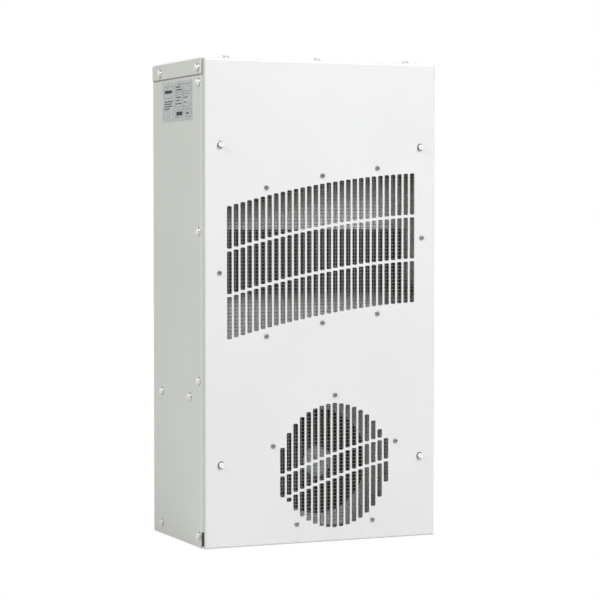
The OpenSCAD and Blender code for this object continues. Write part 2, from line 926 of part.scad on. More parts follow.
// Baffle between the cover and the partition, which parts inlet air from exhaust air
module flow_baffle() {
    half = half_w - bend_room;
    front = sheet_t + 2 * seal_t;
    color([0.8, 0.81, 0.8])
        translate([-half, y_at(partition_depth), z_at(baffle_height)])
            rotate([90, 0, 90])
                linear_extrude(2 * half)
                    mirror([1, 0])
                        angle_section(partition_depth - front, baffle_lip, liner_t, bend_r);
}

// Foam strip between the baffle and the cover
module baffle_seal() {
    half = half_w - bend_room;
    color([0.12, 0.12, 0.12])
        block([-half, half], [sheet_t, sheet_t + 2 * seal_t],
            [baffle_height - seal_t, baffle_height + liner_t + seal_t]);
}

// Shelf that carries the core and parts it from the fan's plenum
module core_shelf() {
    color([0.8, 0.81, 0.8])
        difference() {
            translate([0, y_at((partition_rear + inner_back) / 2), z_at(shelf_height)])
                mirror([0, 0, 1])
                    channel(case_w, inner_back - partition_rear, shelf_flange, liner_t, bend_r);
            block([-core_w / 2 + core_opening_edge, core_w / 2 - core_opening_edge],
                [fold_front + core_opening_edge, fold_rear - core_opening_edge],
                [shelf_height - liner_t - overrun, shelf_height + overrun]);
            block([-duct_half, duct_half], [divider_depth + duct_wall, inner_back - duct_rear_edge],
                [shelf_height - liner_t - overrun, shelf_height + overrun]);
            rod_x([-half_w - overrun, half_w + overrun], shelf_screw_depth, liner_screw_height,
                screw_r + hole_gap);
        }
}

// Divider below the shelf, between the fan's plenum and the rear duct
module lower_divider() {
    height = shelf_height - liner_t - sheet_t;
    half = half_w - bend_room;
    color([0.8, 0.81, 0.8])
        difference() {
            translate([0, y_at(divider_depth + liner_t), z_at(sheet_t + height / 2)])
                rotate([90, 90, 0])
                    channel(height, 2 * half, divider_lip, liner_t, bend_r);
            rod_y(lead_x, inlet_height, [divider_depth - overrun, divider_depth + liner_t + overrun],
                lead_grommet_r - lead_grommet_lip + hole_gap);
        }
}

// Divider behind the core, between the enclosure air going in and coming out
module rear_divider() {
    front = rear_plate_depth + liner_t;
    inner = half_w - panel_flange - fit_gap;
    height = [divider_height, divider_height + liner_t];
    color([0.8, 0.81, 0.8])
        difference() {
            union() {
                block([-half_w + fit_gap, half_w - fit_gap], [front, inner_back], height);
                block([-inner, inner], [front, panel_back - fit_gap], height);
                block([-inner, inner], [front, front + liner_t],
                    [divider_height - divider_lip, divider_height]);
            }
            rod_z(lead_x, lead_depth, [divider_height - overrun, divider_height + liner_t + overrun],
                lead_grommet_r - lead_grommet_lip + hole_gap);
        }
}

// Outline of the folded foil: its middle line goes back and forth once for each fold
fold_line = [for (i = [0:fold_count], step = [0, 1])
    [i * fold_pitch - core_w / 2, (i + step) % 2 == 0 ? 0 : core_d - foil_t]];
fold_last = len(fold_line) - 1;
function fold_normal(i) = let (run = fold_line[i + 1] - fold_line[i])
    [-sign(run[1]), sign(run[0])];
function fold_offset(i, side) = fold_line[i] + side * foil_t / 2 *
    (i == 0 ? fold_normal(0) : i == fold_last ? fold_normal(i - 1)
        : fold_normal(i - 1) + fold_normal(i));

module heat_exchanger_core() {
    color([0.12, 0.12, 0.13])
        translate([0, y_at(fold_front) + foil_t / 2, z_at(fold_low)])
            linear_extrude(core_h)
                polygon(concat([for (i = [0:fold_last]) fold_offset(i, 1)],
                    [for (i = [fold_last:-1:0]) fold_offset(i, -1)]));
}

// Plate under the folds, open below each fold that faces the front
module core_comb() {
    half = core_w / 2 + foil_t / 2;
    color([0.25, 0.26, 0.28])
        difference() {
            block([-half, half], [fold_front, fold_rear], [shelf_height, fold_low]);
            for (i = [1:2:fold_count - 2])
                block([(i + 0.5) * fold_pitch - core_w / 2 - fold_pitch / 2 + foil_t,
                    (i + 0.5) * fold_pitch - core_w / 2 + fold_pitch / 2 - foil_t],
                    [fold_front + 2 * core_opening_edge, fold_rear - 2 * core_opening_edge],
                    [shelf_height - overrun, fold_low + overrun]);
        }
}

// Plates at the two ends of the folded stack
module core_end_plate() {
    block([core_plate_x, core_plate_x + liner_t], [fold_front, fold_rear], [shelf_height, fold_high]);
}

module core_left_plate() {
    color([0.72, 0.73, 0.74])
        mirror([1, 0, 0])
            core_end_plate();
}

module core_right_plate() {
    color([0.72, 0.73, 0.74])
        core_end_plate();
}

// Cap over the folds, from the partition to the core's rear plate
module core_top_cap() {
    half = core_plate_x + 2 * liner_t + fit_gap;
    back = rear_plate_depth + liner_t;
    color([0.72, 0.73, 0.74])
        translate([0, y_at((partition_rear + back) / 2), z_at(fold_high + liner_t)])
            mirror([0, 0, 1])
                channel(2 * half, back - partition_rear, core_cap_lip, liner_t, liner_t + fit_gap);
}

// Plate behind the folds with a window for air in and one for air out
module core_rear_plate() {
    half = core_plate_x + liner_t;
    depth = [rear_plate_depth, rear_plate_depth + liner_t];
    color([0.72, 0.73, 0.74])
        difference() {
            union() {
                block([-half, half], depth, [shelf_height, fold_high]);
                block([-half, half], [depth[1], depth[1] + duct_wall],
                    [shelf_height, shelf_height + liner_t]);
            }
            for (window = [upper_window, lower_window])
                block([-rear_window_half, rear_window_half],
                    [depth[0] - overrun, depth[1] + overrun], window);
        }
}

// Foam between the folds and the partition, open at the exhaust window
module core_front_seal() {
    half = core_w / 2;
    color([0.12, 0.12, 0.12])
        difference() {
            block([-half, half], [partition_rear, fold_front], [shelf_height, fold_high]);
            block([-window_half, window_half], [partition_rear - overrun, fold_front + overrun],
                [window_low, window_high]);
        }
}

// Foam between the folds and the rear plate, open at both windows
module core_rear_seal() {
    half = core_w / 2;
    color([0.12, 0.12, 0.12])
        difference() {
            block([-half, half], [fold_rear, rear_plate_depth], [shelf_height, fold_high]);
            for (window = [upper_window, lower_window])
                block([-rear_window_half, rear_window_half],
                    [fold_rear - overrun, rear_plate_depth + overrun], window);
        }
}

// Foam strips between the stack's end plates and the side panels
module core_side_seals() {
    color([0.12, 0.12, 0.12])
        both_sides()
            block([core_plate_x + 2 * liner_t + 2 * fit_gap, half_w],
                [partition_rear, partition_rear + side_seal_d], [shelf_height, fold_high]);
}

// Children in a fan's own frame: its axis is the rear-going one, its ground the strut face
module at_ambient_fan() {
    translate([inlet_x, y_at(partition_rear), z_at(inlet_height)])
        rotate([-90, 0, 0])
            children();
}

module at_enclosure_fan() {
    translate([0, y_at(rear_fan_depth), z_at(rear_fan_height)])
        rotate([-90, 0, 0])
            children();
}

// Fan frame: two square flanges on a round duct, with struts that carry the bearing tube
module fan_frame() {
    color([0.1, 0.1, 0.11]) {
        difference() {
            union() {
                for (level = [0, fan_d - fan_flange_t])
                    translate([0, 0, level])
                        linear_extrude(fan_flange_t)
                            rounded_square(fan_w, fan_w, fan_corner_r);
                cylinder(r = fan_bore_r + duct_t, h = fan_d);
            }
            translate([0, 0, -overrun])
                cylinder(r = fan_bore_r, h = fan_d + 2 * overrun);
            for (corner = fan_corners())
                translate([corner[0], corner[1], -overrun])
                    cylinder(r = fan_screw_r + hole_gap, h = fan_d + 2 * overrun);
        }
        difference() {
            union() {
                translate([0, 0, strut_recess])
                    cylinder(r = hub_plate_r, h = strut_t);
                for (turn = [45:90:315])
                    rotate([0, 0, turn])
                        translate([hub_plate_r - strut_t, -strut_w / 2, strut_recess])
                            cube([fan_bore_r - hub_plate_r + strut_t + duct_t / 2, strut_w, strut_t]);
                translate([0, 0, strut_recess])
                    cylinder(r = tube_r, h = tube_end - strut_recess);
            }
            translate([0, 0, strut_recess + strut_t])
                cylinder(r = bearing_r, h = tube_end);
        }
    }
}

// One blade: a curved strip set at an angle between the hub and the tip circle
module fan_blade() {
    tip = fan_bore_r - tip_gap;
    intersection() {
        difference() {
            translate([0, 0, blade_low])
                cylinder(r = tip, h = rotor_end - blade_low);
            cylinder(r = hub_r - blade_root, h = fan_d);
        }
        translate([0, 0, blade_mid])
            rotate([blade_stagger, 0, 0])
                intersection() {
                    translate([0, -blade_chord / 2, -blade_chord / 2])
                        cube([tip, blade_chord, blade_chord]);
                    translate([0, 0, -blade_camber_r])
                        rotate([0, 90, 0])
                            difference() {
                                cylinder(r = blade_camber_r + blade_t / 2, h = tip);
                                translate([0, 0, -overrun])
                                    cylinder(r = blade_camber_r - blade_t / 2, h = tip + 2 * overrun);
                            }
                }
    }
}

// Rotor: a cup over the motor with the blades on its wall
module fan_rotor() {
    color([0.13, 0.13, 0.14]) {
        difference() {
            union() {
                translate([0, 0, rotor_end - cup_h])
                    cylinder(r = hub_r, h = cup_h);
                for (i = [0:blade_count - 1])
                    rotate([0, 0, i * 360 / blade_count])
                        fan_blade();
            }
            translate([0, 0, rotor_end - cup_h - overrun])
                cylinder(r = hub_r - cup_wall, h = cup_h - cup_wall + overrun);
            translate([0, 0, blade_low])
                cylinder(r = shaft_r, h = rotor_end - cup_wall + shaft_seat - blade_low);
        }
    }
}

module fan_shaft() {
    color([0.75, 0.76, 0.78])
        translate([0, 0, shaft_low])
            cylinder(r = shaft_r, h = rotor_end - cup_wall + shaft_seat - shaft_low);
}

module fan_bearings() {
    color([0.66, 0.67, 0.7])
        for (level = [bearing_low, bearing_high])
            translate([0, 0, level])
                difference() {
                    cylinder(r = bearing_r, h = bearing_h);
                    translate([0, 0, -overrun])
                        cylinder(r = shaft_r + shaft_clearance, h = bearing_h + 2 * overrun);
                }
}

module fan_stator() {
    color([0.42, 0.42, 0.44])
        difference() {
            translate([0, 0, stator_low])
                cylinder(r = stator_r, h = stator_h);
            translate([0, 0, stator_low - overrun])
                cylinder(r = tube_r, h = stator_h + 2 * overrun);
            for (turn = [0:45:315])
                rotate([0, 0, turn])
                    translate([winding_mid_r + winding_r, -stator_slot_w / 2, stator_low - overrun])
                        cube([stator_r, stator_slot_w, stator_h + 2 * overrun]);
        }
}

module fan_winding() {
    color([0.7, 0.38, 0.2])
        for (level = [stator_low - winding_r, stator_low + stator_h + winding_r])
            translate([0, 0, level])
                rotate_extrude()
                    translate([winding_mid_r, 0])
                        circle(r = winding_r);
}

module fan_label() {
    color([0.78, 0.8, 0.82])
        translate([0, 0, strut_recess - label_t])
            cylinder(r = label_r, h = label_t);
}

module ambient_fan_frame() {
    at_ambient_fan()
        fan_frame();
}

module ambient_fan_rotor() {
    at_ambient_fan()
        fan_rotor();
}

module ambient_fan_shaft() {
    at_ambient_fan()
        fan_shaft();
}

module ambient_fan_bearings() {
    at_ambient_fan()
        fan_bearings();
}

module ambient_fan_stator() {
    at_ambient_fan()
        fan_stator();
}

module ambient_fan_winding() {
    at_ambient_fan()
        fan_winding();
}

module ambient_fan_label() {
    at_ambient_fan()
        fan_label();
}

// Screws through the partition and the fan's four corners, with their nuts
module ambient_fan_screws() {
    grip = liner_t + fan_d;
    color([0.7, 0.7, 0.7])
        for (corner = fan_corners()) {
            on_front(inlet_x + corner[0], partition_depth, inlet_height + corner[1])
                pan_screw(grip + fan_nut_h + screw_end, fan_screw_r);
            on_rear(inlet_x + corner[0], partition_depth + grip, inlet_height + corner[1])
                nut(nut_r, fan_nut_h, fan_screw_r + hole_gap);
        }
}

module enclosure_fan_frame() {
    at_enclosure_fan()
        fan_frame();
}

module enclosure_fan_rotor() {
    at_enclosure_fan()
        fan_rotor();
}

module enclosure_fan_shaft() {
    at_enclosure_fan()
        fan_shaft();
}

module enclosure_fan_bearings() {
    at_enclosure_fan()
        fan_bearings();
}

module enclosure_fan_stator() {
    at_enclosure_fan()
        fan_stator();
}

module enclosure_fan_winding() {
    at_enclosure_fan()
        fan_winding();
}

module enclosure_fan_label() {
    at_enclosure_fan()
        fan_label();
}

// Screws through the guard's loops, the rear panel and the fan's corners, with washers and nuts
module enclosure_fan_screws() {
    lift = guard_spoke_level + wire_r;
    grip = lift + rear_t + fan_d;
    color([0.7, 0.7, 0.7])
        for (corner = fan_corners()) {
            on_rear(corner[0], case_d + lift, rear_fan_height + corner[1])
                pan_screw(grip + fan_nut_h + screw_end, fan_screw_r);
            on_rear(corner[0], case_d, rear_fan_height + corner[1])
                difference() {
                    cylinder(r = guard_loop_r, h = guard_washer_h);
                    translate([0, 0, -overrun])
                        cylinder(r = fan_screw_r + hole_gap, h = guard_washer_h + 2 * overrun);
                }
            on_front(corner[0], rear_fan_depth, rear_fan_height + corner[1])
                nut(nut_r, fan_nut_h, fan_screw_r + hole_gap);
        }
}

// Wire guard: rings on four spokes, each spoke with a loop that a fan screw holds
module enclosure_fan_guard() {
    corner_r = fan_hole_pitch / 2 * sqrt(2);
    foot = corner_r - guard_loop_r - wire_r - guard_joint;
    ring_step = (fan_bore_r + wire_r - guard_ring_first) / (guard_ring_count - 1);
    color([0.78, 0.79, 0.8])
        on_rear(0, case_d, rear_fan_height) {
            for (i = [0:guard_ring_count - 1])
                translate([0, 0, guard_ring_level])
                    rotate_extrude()
                        translate([guard_ring_first + i * ring_step, 0])
                            circle(r = wire_r);
            for (turn = [45:90:315])
                rotate([0, 0, turn]) {
                    translate([guard_ring_first - wire_r, 0, guard_spoke_level])
                        rotate([0, 90, 0])
                            cylinder(r = wire_r, h = foot - guard_ring_first + wire_r);
                    translate([corner_r, 0, guard_spoke_level])
                        rotate_extrude()
                            translate([guard_loop_r, 0])
                                circle(r = wire_r);
                }
        }
}

// Foam gasket round the rear panel with a strip across the middle
module rear_gasket() {
    outer = half_w - gasket_inset;
    inner = outer - gasket_w;
    low = gasket_inset;
    high = case_top - gasket_inset;
    middle = case_h / 2;
    depth = [case_d, case_d + gasket_t];
    through = [case_d - overrun, depth[1] + overrun];
    color([0.1, 0.1, 0.1])
        difference() {
            block([-outer, outer], depth, [low, high]);
            block([-inner, inner], through, [low + gasket_w, middle - gasket_mid_w / 2]);
            block([-inner, inner], through, [middle + gasket_mid_w / 2, high - gasket_w]);
            both_sides() {
                for (height = insert_heights)
                    rod_y(insert_x, height, through, gasket_hole_r);
                for (share = rivet_shares)
                    rod_y(rivet_x, share * case_top, [case_d - overrun, case_d + rivet_head_h + hole_gap],
                        rivet_head_r + hole_gap);
            }
        }
}

// Threaded inserts for the bolts that hold the unit on the enclosure
module mounting_inserts() {
    color([0.78, 0.7, 0.5])
        both_sides()
            for (height = insert_heights)
                on_rear(insert_x, case_d, height)
                    difference() {
                        union() {
                            translate([0, 0, -insert_len])
                                cylinder(r = insert_r, h = insert_len);
                            cylinder(r = insert_flange_r, h = insert_flange_t);
                        }
                        translate([0, 0, -insert_len - overrun])
                            cylinder(r = insert_hole_r, h = insert_len + insert_flange_t + 2 * overrun);
                    }
}

// Rivets between the rear panel and the side panels' flanges
module rear_rivets() {
    color([0.74, 0.75, 0.76])
        both_sides()
            for (share = rivet_shares)
                on_rear(rivet_x, case_d, share * case_top) {
                    cylinder(r = rivet_head_r, h = rivet_head_h);
                    translate([0, 0, -rivet_len])
                        cylinder(r = rivet_r, h = rivet_len);
                }
}

// Rubber grommet for the supply cable in the rear panel
module cable_grommet() {
    color([0.08, 0.08, 0.08])
        on_rear(grommet_x, panel_back, grommet_height)
            difference() {
                union() {
                    translate([0, 0, -grommet_lip_t])
                        cylinder(r = grommet_r, h = grommet_lip_t);
                    cylinder(r = grommet_neck_r, h = rear_t);
                    translate([0, 0, rear_t])
                        cylinder(r = grommet_r, h = grommet_lip_t);
                }
                translate([0, 0, -grommet_lip_t - overrun])
                    cylinder(r = cable_r, h = rear_t + 2 * grommet_lip_t + 2 * overrun);
            }
}

// Terminal block on the rear panel, with wire holes in its top and screw wells in its front
module terminal_block() {
    pole_pitch = block_w / block_pole_count;
    front = panel_back - block_d;
    color([0.88, 0.87, 0.82])
        difference() {
            block([lead_x - block_w / 2, lead_x + block_w / 2], [front, panel_back],
                [block_low, block_low + block_h]);
            for (i = [0:block_pole_count - 1]) {
                x = lead_x - block_w / 2 + (i + 1 / 2) * pole_pitch;
                rod_y(x, block_low + block_h / 2, [front - overrun, front + block_hole_depth],
                    block_hole_r);
                rod_z(x, front + block_hole_depth, [block_low + block_h - block_hole_depth,
                    block_low + block_h + overrun], block_hole_r);
            }
        }
}

// Earth stud with its nut and washer
module earth_stud() {
    color([0.75, 0.68, 0.4])
        on_front(stud_x, panel_back, block_low) {
            translate([0, 0, -rear_t])
                cylinder(r = stud_r, h = stud_len);
            translate([0, 0, -rear_t - rivet_head_h])
                cylinder(r = stud_nut_r, h = rivet_head_h);
            difference() {
                cylinder(r = stud_nut_r, h = washer_t);
                translate([0, 0, -overrun])
                    cylinder(r = stud_r + hole_gap, h = washer_t + 2 * overrun);
            }
            translate([0, 0, washer_t])
                nut(stud_nut_r, stud_nut_h, stud_r + hole_gap);
        }
}

// Quarter bend of a lead in the plane of X and Y, from the X axis to the Y axis
module lead_bend() {
    rotate_extrude(angle = 90)
        translate([lead_bend_r, 0])
            circle(r = lead_r);
}

// Lead of the ambient fan: across to the left, back through the divider and up to the block
module ambient_fan_lead() {
    start = inlet_x - fan_bore_r - duct_t - fit_gap;
    turn_depth = lead_start_depth + lead_bend_r;
    rise_depth = lead_depth - lead_bend_r;
    color([0.09, 0.09, 0.1]) {
        rod_x([lead_x + lead_bend_r, start], lead_start_depth, inlet_height, lead_r);
        translate([lead_x + lead_bend_r, y_at(turn_depth), z_at(inlet_height)])
            rotate([0, 0, 180])
                lead_bend();
        rod_y(lead_x, inlet_height, [turn_depth, rise_depth], lead_r);
        translate([lead_x, y_at(rise_depth), z_at(inlet_height + lead_bend_r)])
            rotate([0, 90, 0])
                lead_bend();
        rod_z(lead_x, lead_depth, [inlet_height + lead_bend_r, block_low], lead_r);
    }
}

// Lead of the enclosure fan: across to the left and down to the block
module enclosure_fan_lead() {
    start = -fan_bore_r - duct_t - fit_gap;
    color([0.09, 0.09, 0.1]) {
        rod_x([lead_x + lead_bend_r, start], lead_depth, rear_fan_height, lead_r);
        translate([lead_x + lead_bend_r, y_at(lead_depth), z_at(rear_fan_height - lead_bend_r)])
            rotate([90, 0, 180])
                lead_bend();
        rod_z(lead_x, lead_depth, [block_low + block_h, rear_fan_height - lead_bend_r], lead_r);
    }
}

// Rubber ring with a groove for a sheet of thickness t, centred on the sheet
module lead_grommet(t) {
    difference() {
        union() {
            for (level = [-lead_grommet_lip - t / 2, t / 2])
                translate([0, 0, level])
                    cylinder(r = lead_grommet_r, h = lead_grommet_lip);
            translate([0, 0, -t / 2])
                cylinder(r = lead_grommet_r - lead_grommet_lip, h = t);
        }
        translate([0, 0, -t / 2 - lead_grommet_lip - overrun])
            cylinder(r = lead_r + hole_gap, h = t + 2 * lead_grommet_lip + 2 * overrun);
    }
}

module lead_grommets() {
    color([0.15, 0.15, 0.15]) {
        on_rear(lead_x, divider_depth + liner_t / 2, inlet_height)
            lead_grommet(liner_t);
        translate([lead_x, y_at(lead_depth), z_at(divider_height + liner_t / 2)])
            lead_grommet(liner_t);
    }
}

// Clips that hold the leads to the rear panel
module lead_clips() {
    outer = lead_r + clip_t;
    color([0.82, 0.82, 0.8])
        for (height = clip_heights)
            difference() {
                union() {
                    rod_z(lead_x, lead_depth, [height, height + clip_w], outer);
                    block([lead_x - clip_t, lead_x + clip_t], [lead_depth, panel_back],
                        [height, height + clip_w]);
                    block([lead_x - 2 * outer, lead_x + 2 * outer], [panel_back - clip_t, panel_back],
                        [height, height + clip_w]);
                }
                rod_z(lead_x, lead_depth, [height - overrun, height + clip_w + overrun],
                    lead_r + hole_gap);
            }
}

front_cover();
left_side_panel();
right_side_panel();
rear_panel();
top_cap();
bottom_pan();
rating_plate();
upper_screen();
lower_screen();
grille_screws();
screen_nuts();
front_cover_screws();
cover_standoffs();
standoff_screws();
side_screws();
cap_screws();
speed_nuts();
inner_partition();
flow_baffle();
baffle_seal();
core_shelf();
lower_divider();
rear_divider();
heat_exchanger_core();
core_comb();
core_left_plate();
core_right_plate();
core_top_cap();
core_rear_plate();
core_front_seal();
core_rear_seal();
core_side_seals();
ambient_fan_frame();
ambient_fan_rotor();
ambient_fan_shaft();
ambient_fan_bearings();
ambient_fan_stator();
ambient_fan_winding();
ambient_fan_label();
ambient_fan_screws();
enclosure_fan_frame();
enclosure_fan_rotor();
enclosure_fan_shaft();
enclosure_fan_bearings();
enclosure_fan_stator();
enclosure_fan_winding();
enclosure_fan_label();
enclosure_fan_screws();
enclosure_fan_guard();
rear_gasket();
mounting_inserts();
rear_rivets();
cable_grommet();
terminal_block();
earth_stud();
ambient_fan_lead();
enclosure_fan_lead();
lead_grommets();
lead_clips();
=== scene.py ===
"""Looks of a closed-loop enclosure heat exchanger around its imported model, in metres.
X runs to the right seen from the front, Y to the rear and Z up, and the origin lies in the rear
gasket's outer face at half height."""

import math

import bmesh
import bpy
from mathutils import Matrix, Vector


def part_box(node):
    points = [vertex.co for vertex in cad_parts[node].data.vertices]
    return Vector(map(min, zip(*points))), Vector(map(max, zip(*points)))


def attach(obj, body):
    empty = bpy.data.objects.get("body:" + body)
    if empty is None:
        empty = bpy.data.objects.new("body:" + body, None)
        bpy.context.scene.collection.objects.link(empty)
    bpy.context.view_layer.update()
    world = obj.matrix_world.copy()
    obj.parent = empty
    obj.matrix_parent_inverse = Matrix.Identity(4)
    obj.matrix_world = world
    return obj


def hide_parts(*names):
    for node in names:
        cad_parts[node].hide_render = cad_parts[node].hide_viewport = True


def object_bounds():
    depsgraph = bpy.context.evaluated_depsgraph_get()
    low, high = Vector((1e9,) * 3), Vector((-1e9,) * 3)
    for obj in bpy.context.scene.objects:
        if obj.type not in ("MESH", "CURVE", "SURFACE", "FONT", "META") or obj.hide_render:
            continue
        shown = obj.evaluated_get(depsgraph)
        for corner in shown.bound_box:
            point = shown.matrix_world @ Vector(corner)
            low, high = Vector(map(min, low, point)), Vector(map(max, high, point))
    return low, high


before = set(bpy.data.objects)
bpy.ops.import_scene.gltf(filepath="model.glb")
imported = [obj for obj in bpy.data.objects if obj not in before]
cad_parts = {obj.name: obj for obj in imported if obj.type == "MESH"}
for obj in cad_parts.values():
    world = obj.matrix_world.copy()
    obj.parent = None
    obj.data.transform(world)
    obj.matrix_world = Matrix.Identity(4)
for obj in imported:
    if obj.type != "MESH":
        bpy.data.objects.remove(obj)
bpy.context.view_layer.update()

# The photograph's viewpoint: a long lens a little above the case's middle, turned to its left front
# edge. The place and angles come from the case's own edges in the picture.
camera_place = (-1.0828, -2.6018, 0.1053)
camera_yaw = math.radians(23.54)
camera_pitch = math.radians(-2.22)
sensor_width = 36
picture_width = 600
focal_pixels = 2187
camera_data = bpy.data.cameras.new("photo_camera")
camera_data.sensor_width = sensor_width
camera_data.lens = focal_pixels * sensor_width / picture_width
camera = bpy.data.objects.new("photo_camera", camera_data)
camera.location = camera_place
camera.rotation_euler = (math.pi / 2 + camera_pitch, 0, -camera_yaw)
bpy.context.scene.collection.objects.link(camera)
bpy.context.scene.camera = camera
bpy.context.scene.view_settings.view_transform = "Standard"

# The studio: a white floor that runs into a white surround, lit by one wide soft box at the front
# right, a wide overhead one and a weaker one on the left, as for a catalogue picture.
case_low, case_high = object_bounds()
floor_gap = 0.0005
floor_reach = 12
floor_steps = 96
floor_white = (0.71, 0.71, 0.71, 1)
floor_cloud_size = 0.6
floor_roughness = 0.9
floor_gloss = 0.1
surround_light = 0.21
surround_tint = (0.99, 1.0, 0.975, 1)
# Place, width, power and tint of each
soft_boxes = {
    "front_box": ((1.2, -2.5, 2.1), 1.2, 79, (0.985, 0.98, 1.0)),
    "top_box": ((0.1, 0.3, 2.6), 2.0, 20, (1.0, 1.0, 1.0)),
    "left_box": ((-2.5, -0.9, 2.0), 1.3, 46, (0.98, 1.0, 0.94)),
}


def node_material(name):
    """A new material, its node tree and its shader."""
    material = bpy.data.materials.new(name)
    material.use_nodes = True
    tree = material.node_tree
    return material, tree, tree.nodes["Principled BSDF"]


def link(tree, source, socket, target, entry):
    tree.links.new(source.outputs[socket], target.inputs[entry])


def noise(tree, size, detail=2.0, stretch=(1, 1, 1)):
    """Noise whose features are about as large as size, in metres, on the object's own axes."""
    place = tree.nodes.new("ShaderNodeTexCoord")
    scale = tree.nodes.new("ShaderNodeMapping")
    scale.inputs["Scale"].default_value = stretch
    pattern = tree.nodes.new("ShaderNodeTexNoise")
    pattern.inputs["Scale"].default_value = 1 / size
    pattern.inputs["Detail"].default_value = detail
    link(tree, place, "Object", scale, "Vector")
    link(tree, scale, "Vector", pattern, "Vector")
    return pattern


def ramp(tree, source, socket, low, high, start=0.3, end=0.7):
    """Colours from low to high that follow a pattern."""
    blend = tree.nodes.new("ShaderNodeValToRGB")
    blend.color_ramp.elements[0].position = start
    blend.color_ramp.elements[0].color = low
    blend.color_ramp.elements[1].position = end
    blend.color_ramp.elements[1].color = high
    link(tree, source, socket, blend, "Fac")
    return blend


def shaded(colour, factor):
    return tuple(channel * factor for channel in colour[:3]) + (1,)


studio, studio_tree, studio_shader = node_material("studio_floor")
floor_cloud = noise(studio_tree, floor_cloud_size)
floor_tone = ramp(studio_tree, floor_cloud, "Fac", shaded(floor_white, 0.99), floor_white)
link(studio_tree, floor_tone, "Color", studio_shader, "Base Color")
studio_shader.inputs["Roughness"].default_value = floor_roughness
studio_shader.inputs["Specular IOR Level"].default_value = floor_gloss
floor_seen = studio_tree.nodes.new("ShaderNodeEmission")
floor_pick = studio_tree.nodes.new("ShaderNodeMixShader")
floor_path = studio_tree.nodes.new("ShaderNodeLightPath")
link(studio_tree, floor_path, "Is Camera Ray", floor_pick, "Fac")
studio_tree.links.new(studio_shader.outputs[0], floor_pick.inputs[1])
studio_tree.links.new(floor_seen.outputs[0], floor_pick.inputs[2])
studio_tree.links.new(floor_pick.outputs[0], studio_tree.nodes["Material Output"].inputs["Surface"])

floor_mesh = bpy.data.meshes.new("floor")
rim = [
    (floor_reach * math.cos(math.tau * i / floor_steps), floor_reach * math.sin(math.tau * i / floor_steps),
     case_low.z - floor_gap)
    for i in range(floor_steps)
]
floor_mesh.from_pydata(rim, [], [list(range(floor_steps))])
floor_mesh.materials.append(studio)
floor = bpy.data.objects.new("floor", floor_mesh)
bpy.context.scene.collection.objects.link(floor)

for name, (place, width, power, tint) in soft_boxes.items():
    lamp_data = bpy.data.lights.new(name, "AREA")
    lamp_data.shape = "SQUARE"
    lamp_data.size = width
    lamp_data.energy = power
    lamp_data.color = tint
    lamp = bpy.data.objects.new(name, lamp_data)
    lamp.location = place
    lamp.rotation_euler = (-Vector(place)).to_track_quat("-Z", "Y").to_euler()
    bpy.context.scene.collection.objects.link(lamp)

surround = bpy.data.worlds.new("surround")
bpy.context.scene.world = surround
surround.use_nodes = True
sky_tree = surround.node_tree
sky_seen = sky_tree.nodes["Background"]
sky_seen.inputs["Color"].default_value = (1, 1, 1, 1)
sky_lit = sky_tree.nodes.new("ShaderNodeBackground")
sky_lit.inputs["Color"].default_value = surround_tint
sky_lit.inputs["Strength"].default_value = surround_light
sky_pick = sky_tree.nodes.new("ShaderNodeMixShader")
sky_path = sky_tree.nodes.new("ShaderNodeLightPath")
link(sky_tree, sky_path, "Is Camera Ray", sky_pick, "Fac")
sky_tree.links.new(sky_lit.outputs[0], sky_pick.inputs[1])
sky_tree.links.new(sky_seen.outputs[0], sky_pick.inputs[2])
sky_tree.links.new(sky_pick.outputs[0], sky_tree.nodes["World Output"].inputs["Surface"])


# The front cover: a folded tray of 1.2 mm steel with both slot patterns punched in it, powder
# coated in satin white. The coat has a fine orange peel. The side flanges that the panels half
# cover are darkened with painted shade.
cover_white = (0.81, 0.82, 0.815)
cover_roughness = 0.42
coat_gloss = 0.5
coat_clouds = (0.985, 1.01)
tone_cloud = 0.13
sheen_cloud = 0.02
sheen_swing = 0.05
sheet_wave = 0.09
wave_height = 0.0003
flange_shade_start = 0.1516
flange_shade_full = 0.1522
flange_shade_tone = (0.86, 0.86, 0.85, 1)


def span(tree, source, socket, low, high):
    """Values from low to high that follow a pattern."""
    spread = tree.nodes.new("ShaderNodeMapRange")
    spread.inputs["To Min"].default_value = low
    spread.inputs["To Max"].default_value = high
    link(tree, source, socket, spread, "Value")
    return spread


def bump(tree, shader, source, socket, height, previous=None):
    """Relief of a real height in metres, on top of any earlier relief."""
    relief = tree.nodes.new("ShaderNodeBump")
    relief.inputs["Distance"].default_value = height
    link(tree, source, socket, relief, "Height")
    if previous:
        link(tree, previous, "Normal", relief, "Normal")
    link(tree, relief, "Normal", shader, "Normal")
    return relief


def powder_coat(name, colour, roughness, peel_size=0.0016, peel_height=0.00003):
    """Baked powder on sheet metal: faint clouds of tone, fine peel and an even sheen."""
    material, tree, shader = node_material(name)
    cloud = noise(tree, tone_cloud, detail=3)
    tones = [shaded(colour, factor) for factor in coat_clouds]
    tone = ramp(tree, cloud, "Fac", *tones, start=0.35, end=0.65)
    link(tree, tone, "Color", shader, "Base Color")
    gloss = noise(tree, sheen_cloud, detail=3)
    sheen = span(tree, gloss, "Fac", roughness - sheen_swing, roughness + sheen_swing)
    link(tree, sheen, "Result", shader, "Roughness")
    peel = bump(tree, shader, noise(tree, peel_size, detail=1), "Fac", peel_height)
    bump(tree, shader, noise(tree, sheet_wave, detail=1), "Fac", wave_height, peel)
    shader.inputs["Specular IOR Level"].default_value = coat_gloss
    return material, tree, shader


def dress(material, *nodes):
    """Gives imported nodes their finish."""
    for node in nodes:
        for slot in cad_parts[node].material_slots:
            slot.material = material


